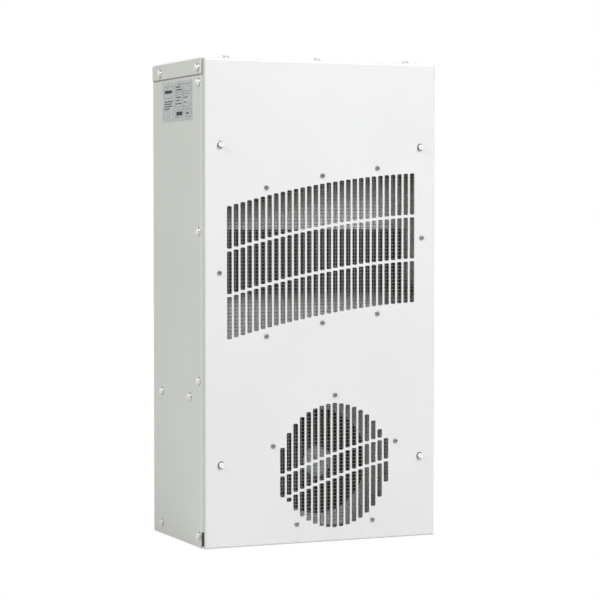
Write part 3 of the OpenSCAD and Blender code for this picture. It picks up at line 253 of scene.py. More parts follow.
def retone(coat, distance, begin, full, tone):
    """Multiplies a coat's colour by a tone: not where a distance is begin, fully where it is full."""
    _, tree, shader = coat
    share = tree.nodes.new("ShaderNodeMapRange")
    share.inputs["From Min"].default_value = begin
    share.inputs["From Max"].default_value = full
    product = tree.nodes.new("ShaderNodeMix")
    product.data_type = "RGBA"
    product.blend_type = "MULTIPLY"
    before, after = product.inputs[6], product.inputs[7]
    after.default_value = tone
    link(tree, distance, "Value", share, "Value")
    link(tree, share, "Result", product, "Factor")
    tree.links.new(shader.inputs["Base Color"].links[0].from_socket, before)
    link(tree, product, 2, shader, "Base Color")


def retone_at_plane(coat, axis, middle, begin, full, tone):
    """Multiplies a coat's colour by a tone near a plane across an axis, or far from it."""
    tree = coat[1]
    place = tree.nodes.new("ShaderNodeTexCoord")
    axes = tree.nodes.new("ShaderNodeSeparateXYZ")
    offset = tree.nodes.new("ShaderNodeMath")
    offset.operation = "SUBTRACT"
    offset.inputs[1].default_value = middle
    distance = tree.nodes.new("ShaderNodeMath")
    distance.operation = "ABSOLUTE"
    link(tree, place, "Object", axes, "Vector")
    link(tree, axes, axis, offset, 0)
    link(tree, offset, "Value", distance, 0)
    retone(coat, distance, begin, full, tone)


cover_coat = powder_coat("cover_white", cover_white, cover_roughness)
# Painted shade on the side flanges, where the panels overlap them.
retone_at_plane(cover_coat, "X", 0, flange_shade_start, flange_shade_full, flange_shade_tone)
dress(cover_coat[0], "front_cover")

# The case: side panels, cap, rear panel and bottom pan of the same sheet, coated in a warmer light
# grey. The panels are screwed to the cover's flanges and riveted to the rear panel. Their front
# edges carry a painted highlight, and painted shade lies below the cap's lips and in the pan's
# front corner.
case_colour = (0.785, 0.80, 0.77)
case_roughness = 0.46
lip_shadow_width = 0.0021
lip_shadow_fade = 0.0004
lip_shadow_tone = (0.6, 0.6, 0.58, 1)
edge_highlight_width = 0.003
edge_highlight_fade = 0.0005
edge_highlight_tone = (1.16, 1.16, 1.17, 1)
pan_shade_width = 0.006
pan_shade_fade = 0.003
pan_shade_tone = (0.2, 0.2, 0.19, 1)
lip_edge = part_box("top_cap")[0].z
panel_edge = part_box("left_side_panel")[0].y
pan_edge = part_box("bottom_pan")[0].y
panel_coat = powder_coat("panel_grey", case_colour, case_roughness)
# Painted shadow below the cap's lip.
retone_at_plane(panel_coat, "Z", lip_edge, lip_shadow_width, lip_shadow_width - lip_shadow_fade, lip_shadow_tone)
# Painted highlight along the panels' front edges.
retone_at_plane(panel_coat, "Y", panel_edge, edge_highlight_width, edge_highlight_width - edge_highlight_fade, edge_highlight_tone)
dress(panel_coat[0], "left_side_panel", "right_side_panel")
case_grey, *_ = powder_coat("case_grey", case_colour, case_roughness)
dress(case_grey, "top_cap", "rear_panel")
pan_coat = powder_coat("pan_grey", case_colour, case_roughness)
# Painted shade in the pan's front corner, behind the cover's foot.
retone_at_plane(pan_coat, "Y", pan_edge, pan_shade_width, pan_shade_width - pan_shade_fade, pan_shade_tone)
dress(pan_coat[0], "bottom_pan")

# The wire cloths: plain woven galvanised wire, six to the inch, behind each grille and pressed
# against the cover by the nuts of the small screws. The upper cloth's top and bottom edges are
# equal arcs whose centres lie below the case.
wire_pitch = 0.00423
wire_radius = 0.00043
wire_sides = 4
wire_colour = (0.26, 0.26, 0.24)
wire_roughness = 0.5
wire_cloud = 0.02
wire_shine = 0.4
shortest_wire = 4
metal_clouds = (0.82, 1.1)
metal_sheen = (-0.08, 0.1)
grains_per_cloud = 12
grain_relief = 0.00001
arc_radius = 1.115
arc_apex_x = 0.183


def make_piece(name, points, faces, material, slot, body, *nodes, crease=40):
    """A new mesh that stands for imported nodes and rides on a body."""
    mesh = bpy.data.meshes.new(name)
    mesh.from_pydata(points, [], faces)
    mesh.validate()
    mesh.polygons.foreach_set("use_smooth", [True] * len(mesh.polygons))
    mesh.set_sharp_from_angle(angle=math.radians(crease))
    mesh.materials.append(material)
    piece = bpy.data.objects.new(name, mesh)
    bpy.context.scene.collection.objects.link(piece)
    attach(piece, body)
    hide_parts(*nodes)
    return piece


def steel(name, colour, roughness, cloud_size, grain=(1, 1, 1), metallic=1.0):
    """Bare or plated metal with faint clouds and a fine grain."""
    material, tree, shader = node_material(name)
    cloud = noise(tree, cloud_size, detail=4)
    tone = ramp(tree, cloud, "Fac", *[shaded(colour, factor) for factor in metal_clouds])
    link(tree, tone, "Color", shader, "Base Color")
    fine = noise(tree, cloud_size / grains_per_cloud, stretch=grain)
    sheen = span(tree, fine, "Fac", *[roughness + swing for swing in metal_sheen])
    link(tree, sheen, "Result", shader, "Roughness")
    bump(tree, shader, fine, "Fac", grain_relief)
    shader.inputs["Metallic"].default_value = metallic
    return material


def tube(path, radius, sides, closed=False, across=Vector((0, 1, 0))):
    """Points and faces of a round tube along a path, its ends capped unless it is closed."""
    points, faces = [], []
    count = len(path)
    for i, place in enumerate(path):
        ahead = path[(i + 1) % count] if closed or i < count - 1 else place
        behind = path[i - 1] if closed or i > 0 else place
        along = (ahead - behind).normalized()
        side = along.cross(across).normalized()
        lift = side.cross(along)
        for k in range(sides):
            turn = math.tau * k / sides
            points.append(place + radius * (math.cos(turn) * side + math.sin(turn) * lift))
    for i in range(count if closed else count - 1):
        for k in range(sides):
            a, b = i * sides, (i + 1) % count * sides
            n = (k + 1) % sides
            faces.append([a + k, a + n, b + n, b + k])
    if not closed:
        faces.append(list(reversed(range(sides))))
        faces.append([(count - 1) * sides + k for k in range(sides)])
    return points, faces


def gathered(shapes):
    """Several shapes, each its points and faces, as one."""
    points, faces = [], []
    for shape_points, shape_faces in shapes:
        faces += [[v + len(points) for v in face] for face in shape_faces]
        points += shape_points
    return points, faces


def woven_cloth(name, node, column_span, row_span):
    """Crossing wires inside an outline: the spans give each wire's two ends."""
    low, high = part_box(node)
    middle = (low.y + high.y) / 2
    swing = (high.y - low.y) / 2 - wire_radius
    columns = [low.x + wire_pitch * (i + 0.5) for i in range(int((high.x - low.x) / wire_pitch))]
    rows = [low.z + wire_pitch * (j + 0.5) for j in range(int((high.z - low.z) / wire_pitch))]
    shapes = []
    for upright, wires, crossings, ends in ((True, columns, rows, column_span),
                                            (False, rows, columns, row_span)):
        for i, level in enumerate(wires):
            start, end = ends(level)
            path = [(start, 0)]
            path += [(c, swing * (-1) ** (i + j + upright)) for j, c in enumerate(crossings)
                     if start + wire_radius < c < end - wire_radius]
            path += [(end, 0)]
            if len(path) < shortest_wire:
                continue
            places = [Vector((level, middle + w, c) if upright else (c, middle + w, level))
                      for c, w in path]
            shapes.append(tube(places, wire_radius, wire_sides))
    points, faces = gathered(shapes)
    return make_piece(name, points, faces, wire_steel, "wire_cloth", "housing", node, crease=80)


wire_steel = steel("wire_steel", wire_colour, wire_roughness, wire_cloud, metallic=wire_shine)

arc_low, arc_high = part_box("upper_screen")
arc_right_rise = math.sqrt(arc_radius ** 2 - (arc_high.x - arc_apex_x) ** 2)
arc_left_rise = math.sqrt(arc_radius ** 2 - (arc_low.x - arc_apex_x) ** 2)


def arc_column(x):
    rise = math.sqrt(arc_radius ** 2 - (x - arc_apex_x) ** 2)
    return arc_low.z + rise - arc_left_rise, arc_high.z + rise - arc_right_rise


def arc_reach(rise):
    """The place across where the arc is at a height above its centre."""
    return arc_apex_x - math.sqrt(max(arc_radius ** 2 - rise ** 2, 0))


def arc_row(z):
    left = arc_reach(z - arc_high.z + arc_right_rise)
    right = arc_reach(min(z - arc_low.z + arc_left_rise, arc_radius))
    return max(left, arc_low.x), min(right, arc_high.x)


woven_cloth("upper_wire_cloth", "upper_screen", arc_column, arc_row)

disc_low, disc_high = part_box("lower_screen")
disc_radius = (disc_high.x - disc_low.x) / 2
disc_x = (disc_high.x + disc_low.x) / 2
disc_z = disc_high.z - disc_radius


def disc_column(x):
    reach = math.sqrt(max(disc_radius ** 2 - (x - disc_x) ** 2, 0))
    return max(disc_z - reach, disc_low.z), disc_z + reach


def disc_row(z):
    reach = math.sqrt(max(disc_radius ** 2 - (z - disc_z) ** 2, 0))
    return disc_x - reach, disc_x + reach


woven_cloth("lower_wire_cloth", "lower_screen", disc_column, disc_row)

# The small screws round the grilles and their nuts: zinc plated pan heads with a cross recess.
# The standoffs, the screws behind them and the fan screws share the plating. The speed nuts that
# take the cover's screws are dark spring steel.
zinc_colour = (0.40, 0.405, 0.41)
spring_colour = (0.12, 0.12, 0.125)
zinc = steel("zinc_plate", zinc_colour, roughness=0.34, cloud_size=0.004)
dress(zinc, "grille_screws", "screen_nuts", "cover_standoffs", "standoff_screws",
      "ambient_fan_screws", "enclosure_fan_screws")
spring_steel = steel("spring_steel", spring_colour, roughness=0.5, cloud_size=0.006)
dress(spring_steel, "speed_nuts")

# The washer head screws: cold formed steel with a hexagon on a flange. The plating is bright on the
# hexagon and dull on the flange, which is darkened with painted shade. Four hold the cover, the
# others the sides and the cap.
flange_height = 0.0009
hexagon_height = 0.003
# Shank, flange and hexagon's corner radius
cover_screw_radii = (0.0021, 0.0044, 0.0037)
case_screw_radii = (0.002, 0.0047, 0.004)
# Outlines as shares of a radius and a height: the flange's rim, and the hexagon with its dish. The
# flange rises a little round the hexagon, whose foot lies inside it.
rim_outline = ((1, 0), (1, 0.4), (0.93, 0.85))
hexagon_outline = ((1, 0.88), (0.86, 1), (0.66, 1), (0.56, 0.92))
flange_rise = flange_height * 1.2
hexagon_foot = flange_height * 0.7
thread_steps = 16
thread_tip = 0.7
weld_distance = 0.000001
thread_pitch = 0.0008
thread_depth = 0.00022
bright_plating = (0.95, 0.95, 0.945, 1)
# Painted shade tone, and the shares of the head's height where it ends and the bright one begins
cover_flange_shade = ((0.2, 0.2, 0.205, 1), 0.26, 0.5)
case_flange_shade = ((0.3, 0.3, 0.3, 1), 0.12, 0.24)
plating_cloud = 0.0008
plating_roughness = (0.2, 0.34)
plating_shine = (0.9, 0.1)


def solids_of(node):
    """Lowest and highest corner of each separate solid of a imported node."""
    shape = bmesh.new()
    shape.from_mesh(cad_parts[node].data)
    bmesh.ops.remove_doubles(shape, verts=shape.verts, dist=weld_distance)
    seen, corners = set(), []
    for first in shape.verts:
        if first in seen:
            continue
        seen.add(first)
        group, queue = [], [first]
        while queue:
            vert = queue.pop()
            group.append(vert.co.copy())
            for edge in vert.link_edges:
                other = edge.other_vert(vert)
                if other not in seen:
                    seen.add(other)
                    queue.append(other)
        axes = list(zip(*group))
        corners.append((Vector(map(min, axes)), Vector(map(max, axes))))
    shape.free()
    return corners


def turned(profile, steps=40, ring=False):
    """A profile of (radius, level) pairs turned round Z: capped at its ends, or a closed ring."""
    points = [Vector((r * math.cos(math.tau * k / steps), r * math.sin(math.tau * k / steps), z))
              for r, z in profile for k in range(steps)]
    faces = []
    count = len(profile)
    for i in range(count if ring else count - 1):
        for k in range(steps):
            a, b = i * steps, (i + 1) % count * steps
            n = (k + 1) % steps
            faces.append([a + k, a + n, b + n, b + k])
    if not ring:
        faces.append(list(reversed(range(steps))))
        faces.append([(count - 1) * steps + k for k in range(steps)])
    return points, faces


def placed(shapes, matrix):
    """Shapes put in place by a matrix."""
    return [([matrix @ point for point in points], faces) for points, faces in shapes]


def threaded_shank(length, radius):
    """A shank that hangs below level 0, with rolled grooves and a narrower tip."""
    profile = [(radius * thread_tip, -length), (radius, -length + thread_pitch)]
    level = -length + 2 * thread_pitch
    while level < -thread_pitch:
        profile += [(radius - thread_depth, level), (radius, level + thread_pitch / 2)]
        level += thread_pitch
    return turned(profile + [(radius, 0)], thread_steps)


def washer_screw(length, shank, flange, corner):
    """Flange, hexagon with a broken edge and a shallow dish on top, and a grooved shank."""
    top = flange_height + hexagon_height
    rim = [(flange * r, flange_height * z) for r, z in rim_outline] + [(corner, flange_rise)]
    head = [(corner, hexagon_foot)] + [(corner * r, top * z) for r, z in hexagon_outline]
    return [turned(rim), turned(head, steps=6), threaded_shank(length, shank)]


def outward_frame(low, high, head, flange):
    """Matrix that stands a screw on its seat and points it out of the case, and its shank's length.
    The screw's axis is the side of its box that is least like the flange's width."""
    size, centre = high - low, (low + high) / 2
    axis = max(range(3), key=lambda k: abs(size[k] - 2 * flange))
    case_middle = (case_low + case_high) / 2
    direction = Vector([0, 0, 0])
    direction[axis] = 1 if centre[axis] > case_middle[axis] else -1
    seat = centre.copy()
    seat[axis] = (high if direction[axis] > 0 else low)[axis] - direction[axis] * head
    turn = direction.to_track_quat("Z", "Y").to_matrix().to_4x4()
    return Matrix.Translation(seat) @ turn, size[axis] - head


def washer_screws(name, node, material, shank, flange, corner):
    """All screws of a node, each point with its share of the head's height for the plating."""
    head = flange_height + hexagon_height
    shapes, shares = [], []
    for low, high in solids_of(node):
        matrix, length = outward_frame(low, high, head, flange)
        screw = washer_screw(length, shank, flange, corner)
        shares += [point.z / head for screw_points, _ in screw for point in screw_points]
        shapes += placed(screw, matrix)
    points, faces = gathered(shapes)
    screws = make_piece(name, points, faces, material, "bright_screw", "housing", node, crease=35)
    screws.data.attributes.new("head_share", "FLOAT", "POINT").data.foreach_set("value", shares)


def head_plating(name, shade_tone, shade_end, bright_start):
    """Plating from a dull tone of painted shade to bright, between two shares of the head's height."""
    material, tree, shader = node_material(name)
    share = tree.nodes.new("ShaderNodeAttribute")
    share.attribute_name = "head_share"
    tone = ramp(tree, share, "Fac", shade_tone, bright_plating, shade_end, bright_start)
    sheen = span(tree, noise(tree, plating_cloud), "Fac", *plating_roughness)
    metal = span(tree, share, "Fac", *plating_shine)
    link(tree, tone, "Color", shader, "Base Color")
    link(tree, sheen, "Result", shader, "Roughness")
    link(tree, metal, "Result", shader, "Metallic")
    return material


cover_plating = head_plating("cover_screw_plating", *cover_flange_shade)
case_plating = head_plating("side_screw_plating", *case_flange_shade)
washer_screws("cover_washer_screws", "front_cover_screws", cover_plating, *cover_screw_radii)
washer_screws("side_washer_screws", "side_screws", case_plating, *case_screw_radii)
washer_screws("cap_washer_screws", "cap_screws", case_plating, *case_screw_radii)

# The rating plate: satin metal foil with rounded corners, stuck on the left panel. Its print is
# ruled cells and plain bars in dark ink, in the layout that such plates have.
foil_colour = (0.765, 0.80, 0.825)
foil_brushing = (1, 1, 12)
ink_tones = ((0.03, 0.03, 0.035, 1), (0.10, 0.10, 0.11, 1))
ink_cloud = 0.003
ink_roughness = 0.5
print_height = 0.00004
ink_line = 0.00035
corner_radius = 0.002
corner_steps = 8
plate_low, plate_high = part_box("rating_plate")
plate_wide = plate_high.y - plate_low.y
plate_tall = plate_high.z - plate_low.z
# Ruled cells and bars as left, bottom, right and top shares of the plate
cell_shares = [(0.05, 0.60, 0.36, 0.90), (0.44, 0.72, 0.96, 0.92), (0.44, 0.34, 0.96, 0.66),
               (0.70, 0.34, 0.96, 0.66), (0.44, 0.08, 0.70, 0.28), (0.76, 0.08, 0.96, 0.28)]
bar_shares = [(0.08, 0.72, 0.32, 0.80), (0.06, 0.50, 0.34, 0.525), (0.06, 0.44, 0.30, 0.465),
              (0.06, 0.38, 0.33, 0.405), (0.06, 0.32, 0.25, 0.345), (0.46, 0.84, 0.60, 0.87),
              (0.46, 0.77, 0.66, 0.80), (0.46, 0.58, 0.62, 0.605), (0.46, 0.50, 0.58, 0.525),
              (0.46, 0.42, 0.64, 0.445), (0.73, 0.56, 0.84, 0.585), (0.73, 0.44, 0.80, 0.465),
              (0.47, 0.13, 0.67, 0.23), (0.79, 0.15, 0.88, 0.19)]


def on_plate(u, v, lift):
    """A place on the plate: u to the right seen from the left side, v up, lift off the panel."""
    return Vector((plate_high.x - lift, plate_high.y - u, plate_low.z + v))


def ink_box(left, bottom, right, top, lift):
    """A thin printed rectangle with closed sides."""
    corners = [(left, bottom), (right, bottom), (right, top), (left, top)]
    points = [on_plate(u, v, level) for level in (lift, lift + print_height) for u, v in corners]
    faces = [[3, 2, 1, 0], [4, 5, 6, 7]]
    faces += [[k, (k + 1) % 4, (k + 1) % 4 + 4, k + 4] for k in range(4)]
    return points, faces


label_foil = steel("label_foil", foil_colour, roughness=0.42, cloud_size=0.006, grain=foil_brushing,
                   metallic=0.25)
ink_dark, ink_tree, ink_shader = node_material("label_ink")
ink_tone = ramp(ink_tree, noise(ink_tree, ink_cloud), "Fac", *ink_tones)
link(ink_tree, ink_tone, "Color", ink_shader, "Base Color")
ink_shader.inputs["Roughness"].default_value = ink_roughness

foil_lift = plate_high.x - plate_low.x - print_height
outline = []
for centre_u, centre_v, start in ((plate_wide - corner_radius, corner_radius, -90),
                                  (plate_wide - corner_radius, plate_tall - corner_radius, 0),
                                  (corner_radius, plate_tall - corner_radius, 90),
                                  (corner_radius, corner_radius, 180)):
    for step in range(corner_steps + 1):
        turn = math.radians(start + 90 * step / corner_steps)
        outline.append((centre_u + corner_radius * math.cos(turn),
                        centre_v + corner_radius * math.sin(turn)))
steps = len(outline)
plate_points = [on_plate(u, v, 0) for u, v in outline]
plate_points += [on_plate(u, v, foil_lift) for u, v in outline]
plate_faces = [list(reversed(range(steps))), list(range(steps, 2 * steps))]
plate_faces += [[k, (k + 1) % steps, (k + 1) % steps + steps, k + steps] for k in range(steps)]
shapes = [(plate_points, plate_faces)]
for left, bottom, right, top in cell_shares:
    u0, u1 = left * plate_wide, right * plate_wide
    v0, v1 = bottom * plate_tall, top * plate_tall
    shapes += [ink_box(u0, v0, u1, v0 + ink_line, foil_lift), ink_box(u0, v1 - ink_line, u1, v1, foil_lift),
               ink_box(u0, v0, u0 + ink_line, v1, foil_lift), ink_box(u1 - ink_line, v0, u1, v1, foil_lift)]
for left, bottom, right, top in bar_shares:
    shapes.append(ink_box(left * plate_wide, bottom * plate_tall, right * plate_wide,
                          top * plate_tall, foil_lift))
points, faces = gathered(shapes)
plate = make_piece("rating_label", points, faces, label_foil, "label_foil", "housing", "rating_plate")
plate.data.materials.append(ink_dark)
for face in plate.data.polygons[len(plate_faces):]:
    face.material_index = 1

# The partition behind the curved grille: a 1 mm sheet, painted white, with the window that the core's
# air leaves by. The paint is toned darker where the cover and the window's own lower edge shade it.
partition_white = (0.93, 0.935, 0.93)
liner_peel = 0.0025
liner_peel_height = 0.00002
liner_roughness = 0.5
# The shade's upper end is the arc of the slots' tops, which is this far below the cloth's edge
screen_overlap = 0.0161
shade_shift = Vector((0.0217, 0, -0.002))
arc_shade_fade = 0.024
arc_shade_tone = (0.12, 0.12, 0.115, 1)
window_sill = 0.3025
sill_shade_fade = 0.02
sill_shade_tone = (0.1, 0.1, 0.095, 1)


def retone_to_arc(coat, centre, radius, fade, tone):
    """Multiplies a coat's colour by a tone that begins a fade inside an arc and is full at the arc."""
    tree = coat[1]
    place = tree.nodes.new("ShaderNodeTexCoord")
    flat = tree.nodes.new("ShaderNodeVectorMath")
    flat.operation = "MULTIPLY"
    flat.inputs[1].default_value = (1, 0, 1)
    distance = tree.nodes.new("ShaderNodeVectorMath")
    distance.operation = "DISTANCE"
    distance.inputs[1].default_value = (centre.x, 0, centre.z)
    link(tree, place, "Object", flat, 0)
    link(tree, flat, "Vector", distance, 0)
    retone(coat, distance, radius - fade, radius, tone)


partition_paint = powder_coat("partition_paint", partition_white, liner_roughness,
                              liner_peel, liner_peel_height)
arc_centre = Vector((arc_apex_x, 0, arc_high.z - arc_right_rise - screen_overlap))
retone_to_arc(partition_paint, arc_centre + shade_shift, arc_radius, arc_shade_fade, arc_shade_tone)
retone_at_plane(partition_paint, "Z", case_low.z + window_sill, sill_shade_fade, 0, sill_shade_tone)
dress(partition_paint[0], "inner_partition")

# The other air guides: baffle, shelf and dividers, folded from 1 mm sheet with a thin grey primer
# coat. The core's plates are bare galvanised sheet with its faint spangle.
liner_grey = (0.74, 0.75, 0.745)
zinc_sheet_colour = (0.6, 0.62, 0.63)
zinc_shine = 0.9
spangle_size = 0.012
spangle_tones = (0.85, 1.12)
spangle_roughness = (0.3, 0.5)
spangle_relief = 0.00002
liner_paint, *_ = powder_coat("liner_paint", liner_grey, liner_roughness, liner_peel, liner_peel_height)
dress(liner_paint, "flow_baffle", "core_shelf", "lower_divider", "rear_divider")


def galvanised(name, colour, spangle):
    """Zinc crystals of a given size over mild steel."""
    material, tree, shader = node_material(name)
    place = tree.nodes.new("ShaderNodeTexCoord")
    crystals = tree.nodes.new("ShaderNodeTexVoronoi")
    crystals.inputs["Scale"].default_value = 1 / spangle
    link(tree, place, "Object", crystals, "Vector")
    tones = [shaded(colour, factor) for factor in spangle_tones]
    tone = ramp(tree, crystals, "Color", *tones, start=0.1, end=0.9)
    link(tree, tone, "Color", shader, "Base Color")
    sheen = span(tree, crystals, "Color", *spangle_roughness)
    link(tree, sheen, "Result", shader, "Roughness")
    bump(tree, shader, noise(tree, spangle_size / 3), "Fac", spangle_relief)
    shader.inputs["Metallic"].default_value = zinc_shine
    return material


galvanised_sheet = galvanised("galvanised_sheet", zinc_sheet_colour, spangle_size)
dress(galvanised_sheet, "core_left_plate", "core_right_plate", "core_top_cap", "core_rear_plate")

# The core: one long aluminium foil with a thin black epoxy coat, folded to and fro into narrow
# channels, with shallow dimples that keep the folds apart. It stands on a moulded comb that closes
# every second channel.
foil_blacks = ((0.025, 0.026, 0.028, 1), (0.05, 0.052, 0.055, 1))
foil_cloud_size = 0.02
foil_roughness = (0.28, 0.46)
foil_shine = 0.2
dimple_pitch = 0.016
dimple_depth = 0.0008
dimple_scatter = 0.15
roll_mark = 0.0015
roll_depth = 0.00002
comb_colour = (0.05, 0.052, 0.055)
flow_mark = 0.03
flow_tones = (0.92, 1.08)
spark_swing = 0.06
foil, foil_tree, foil_shader = node_material("core_foil")
foil_cloud = noise(foil_tree, foil_cloud_size, detail=3)
foil_tone = ramp(foil_tree, foil_cloud, "Fac", *foil_blacks)
link(foil_tree, foil_tone, "Color", foil_shader, "Base Color")
foil_shader.inputs["Metallic"].default_value = foil_shine
foil_rolled = noise(foil_tree, roll_mark, stretch=(1, 1, 0.1))
foil_sheen = span(foil_tree, foil_rolled, "Fac", *foil_roughness)
link(foil_tree, foil_sheen, "Result", foil_shader, "Roughness")
foil_relief = bump(foil_tree, foil_shader, foil_rolled, "Fac", roll_depth)
dimples = foil_tree.nodes.new("ShaderNodeTexVoronoi")
dimples.inputs["Scale"].default_value = 1 / dimple_pitch
dimples.inputs["Randomness"].default_value = dimple_scatter
foil_place = foil_tree.nodes.new("ShaderNodeTexCoord")
link(foil_tree, foil_place, "Object", dimples, "Vector")
bump(foil_tree, foil_shader, dimples, "Distance", dimple_depth, foil_relief)
dress(foil, "heat_exchanger_core")


def moulded(name, colour, roughness, grain_size=0.0006, grain_height=0.00002):
    """Injection moulded plastic: an even colour with faint flow marks and a fine spark grain."""
    material, tree, shader = node_material(name)
    tones = [shaded(colour, factor) for factor in flow_tones]
    tone = ramp(tree, noise(tree, flow_mark), "Fac", *tones)
    link(tree, tone, "Color", shader, "Base Color")
    grain = noise(tree, grain_size, detail=1)
    sheen = span(tree, grain, "Fac", roughness - spark_swing, roughness + spark_swing)
    link(tree, sheen, "Result", shader, "Roughness")
    bump(tree, shader, grain, "Fac", grain_height)
    return material


comb_plastic = moulded("comb_plastic", comb_colour, roughness=0.5)
dress(comb_plastic, "core_comb")

# The foam: closed cell strips die cut from black sheet, stuck round the core, on the baffle and
# round the rear panel's face. Their cut edges are soft and their skin shows fine cells.
foam_colour = (0.035, 0.035, 0.037)
foam_roughness = 0.92
foam_fuzz = 0.15
foam_cell = 0.0011
# A cell's tones from middle to wall, its depth, and the skin's waves in cell sizes
cell_tones = (1.5, 0.6)
cell_depth = 0.25
skin_wave = 12
skin_depth = 0.4
foam_edge = 0.0004
flat_angle = math.radians(2)
corner_angle = math.radians(50)
foam_strips = {
    "gasket_foam": "rear_gasket",
    "baffle_foam": "baffle_seal",
    "core_front_foam": "core_front_seal",
    "core_rear_foam": "core_rear_seal",
    "core_side_foam": "core_side_seals",
}


def cellular(name, colour, cell):
    """Foam or rubber sheet with small closed cells."""
    material, tree, shader = node_material(name)
    place = tree.nodes.new("ShaderNodeTexCoord")
    cells = tree.nodes.new("ShaderNodeTexVoronoi")
    cells.inputs["Scale"].default_value = 1 / cell
    link(tree, place, "Object", cells, "Vector")
    tones = [shaded(colour, factor) for factor in cell_tones]
    tone = ramp(tree, cells, "Distance", *tones, start=0.1, end=0.8)
    link(tree, tone, "Color", shader, "Base Color")
    skin = bump(tree, shader, cells, "Distance", cell * cell_depth)
    bump(tree, shader, noise(tree, cell * skin_wave), "Fac", cell * skin_depth, skin)
    shader.inputs["Roughness"].default_value = foam_roughness
    shader.inputs["Sheen Weight"].default_value = foam_fuzz
    return material


def softened(name, node, material, slot, edge):
    """A packed foam piece drawn again with rounded edges."""
    shape = bmesh.new()
    shape.from_mesh(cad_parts[node].data)
    bmesh.ops.remove_doubles(shape, verts=shape.verts, dist=weld_distance)
    bmesh.ops.dissolve_limit(shape, angle_limit=flat_angle, verts=shape.verts, edges=shape.edges)
    sharp = [e for e in shape.edges if len(e.link_faces) == 2 and e.calc_face_angle(0) > corner_angle]
    bmesh.ops.bevel(shape, geom=sharp, offset=edge, segments=2, profile=0.6, affect="EDGES",
                    clamp_overlap=True)
    bmesh.ops.triangulate(shape, faces=[f for f in shape.faces if len(f.verts) > 4])
    points = [v.co.copy() for v in shape.verts]
    shape.verts.index_update()
    faces = [[v.index for v in f.verts] for f in shape.faces]
    shape.free()
    return make_piece(name, points, faces, material, slot, "housing", node, crease=50)


foam = cellular("foam_black", foam_colour, foam_cell)
for strip, node in foam_strips.items():
    softened(strip, node, foam, "foam_black", foam_edge)

# The fans: a square die cast frame, coated black, carries the motor on four struts. The rotor is a
# moulded cup with seven swept blades, pressed on a ground shaft that runs in two ball bearings.
hub_radius = 0.032
hub_wall = 0.003
cup_level = (0.012, 0.0347)
tip_radius = 0.0622
blade_root = 0.0312
blade_count = 7
blade_middle = 0.0214
blade_chord = (0.031, 0.044)
blade_pitch_degrees = (48, 27)
blade_camber = 0.0032
blade_thick = (0.0024, 0.0013)
blade_sweep = 0.30
blade_rows = 12
blade_steps = 14
shaft_radius = 0.0025
shaft_end = 0.0337
dimple_radius = 0.009
hub_round = 0.0016
hub_steps = 72
cup_black = (0.025, 0.025, 0.028)
frame_colour = (0.03, 0.03, 0.033)
bearing_colour = (0.62, 0.63, 0.65)
lamination_colour = (0.28, 0.28, 0.29)
copper_colour = (0.55, 0.22, 0.09)


def fan_matrix(name):
    """Stands a fan's own axis, which starts at its struts, in the case."""
    low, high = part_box(name + "_fan_shaft")
    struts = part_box(name + "_fan_frame")[0].y
    place = Vector(((low.x + high.x) / 2, struts, (low.z + high.z) / 2))
    return Matrix.Translation(place) @ Matrix.Rotation(-math.pi / 2, 4, "X")


def mixed(pair, t):
    return pair[0] + (pair[1] - pair[0]) * t


def blade_point(t, s, side):
    """A point of a blade's skin: t from root to tip, s along the chord, side -1 or 1."""
    radius = mixed((blade_root, tip_radius), t)
    along = (s - 0.5) * mixed(blade_chord, t)
    rise = blade_camber * (1 - (2 * s - 1) ** 2)
    rise += side * mixed(blade_thick, t) / 2 * math.sqrt(max(1 - (2 * s - 1) ** 4, 0))
    pitch = math.radians(mixed(blade_pitch_degrees, t))
    turned_by = (along * math.cos(pitch) - rise * math.sin(pitch)) / radius
    turned_by += blade_sweep * t * t
    level = blade_middle + along * math.sin(pitch) + rise * math.cos(pitch) - blade_camber / 2
    return Vector((radius * math.cos(turned_by), radius * math.sin(turned_by), level))


def blade(turn):
    """One closed blade skin between the hub and the tip circle."""
    spin = Matrix.Rotation(turn, 3, "Z")
    loop = [(s / blade_steps, 1) for s in range(blade_steps + 1)]
    loop += [(s / blade_steps, -1) for s in range(blade_steps - 1, 0, -1)]
    points = [spin @ blade_point(row / blade_rows, s, side)
              for row in range(blade_rows + 1) for s, side in loop]
    size = len(loop)
    faces = []
    for row in range(blade_rows):
        for k in range(size):
            a, b, n = row * size, (row + 1) * size, (k + 1) % size
            faces.append([a + k, b + k, b + n, a + n])
    faces.append(list(range(size)))
    faces.append([blade_rows * size + k for k in reversed(range(size))])
    return points, faces


def rotor(name):
    low, high = cup_level
    inner = hub_radius - hub_wall
    roof = high - hub_wall
    cup = turned([(shaft_radius, shaft_end), (shaft_radius, roof), (inner, roof), (inner, low),
                  (hub_radius, low), (hub_radius, high - hub_round),
                  (hub_radius - hub_round * 0.3, high - hub_round * 0.3),
                  (hub_radius - hub_round, high), (dimple_radius, high),
                  (dimple_radius - hub_round / 2, high - hub_round / 2)], hub_steps)
    shapes = [cup] + [blade(math.tau * i / blade_count) for i in range(blade_count)]
    points, faces = gathered(placed(shapes, fan_matrix(name)))
    return make_piece(name + "_fan_impeller", points, faces, fan_black, "fan_black",
                      name + "_fan", name + "_fan_rotor", crease=45)


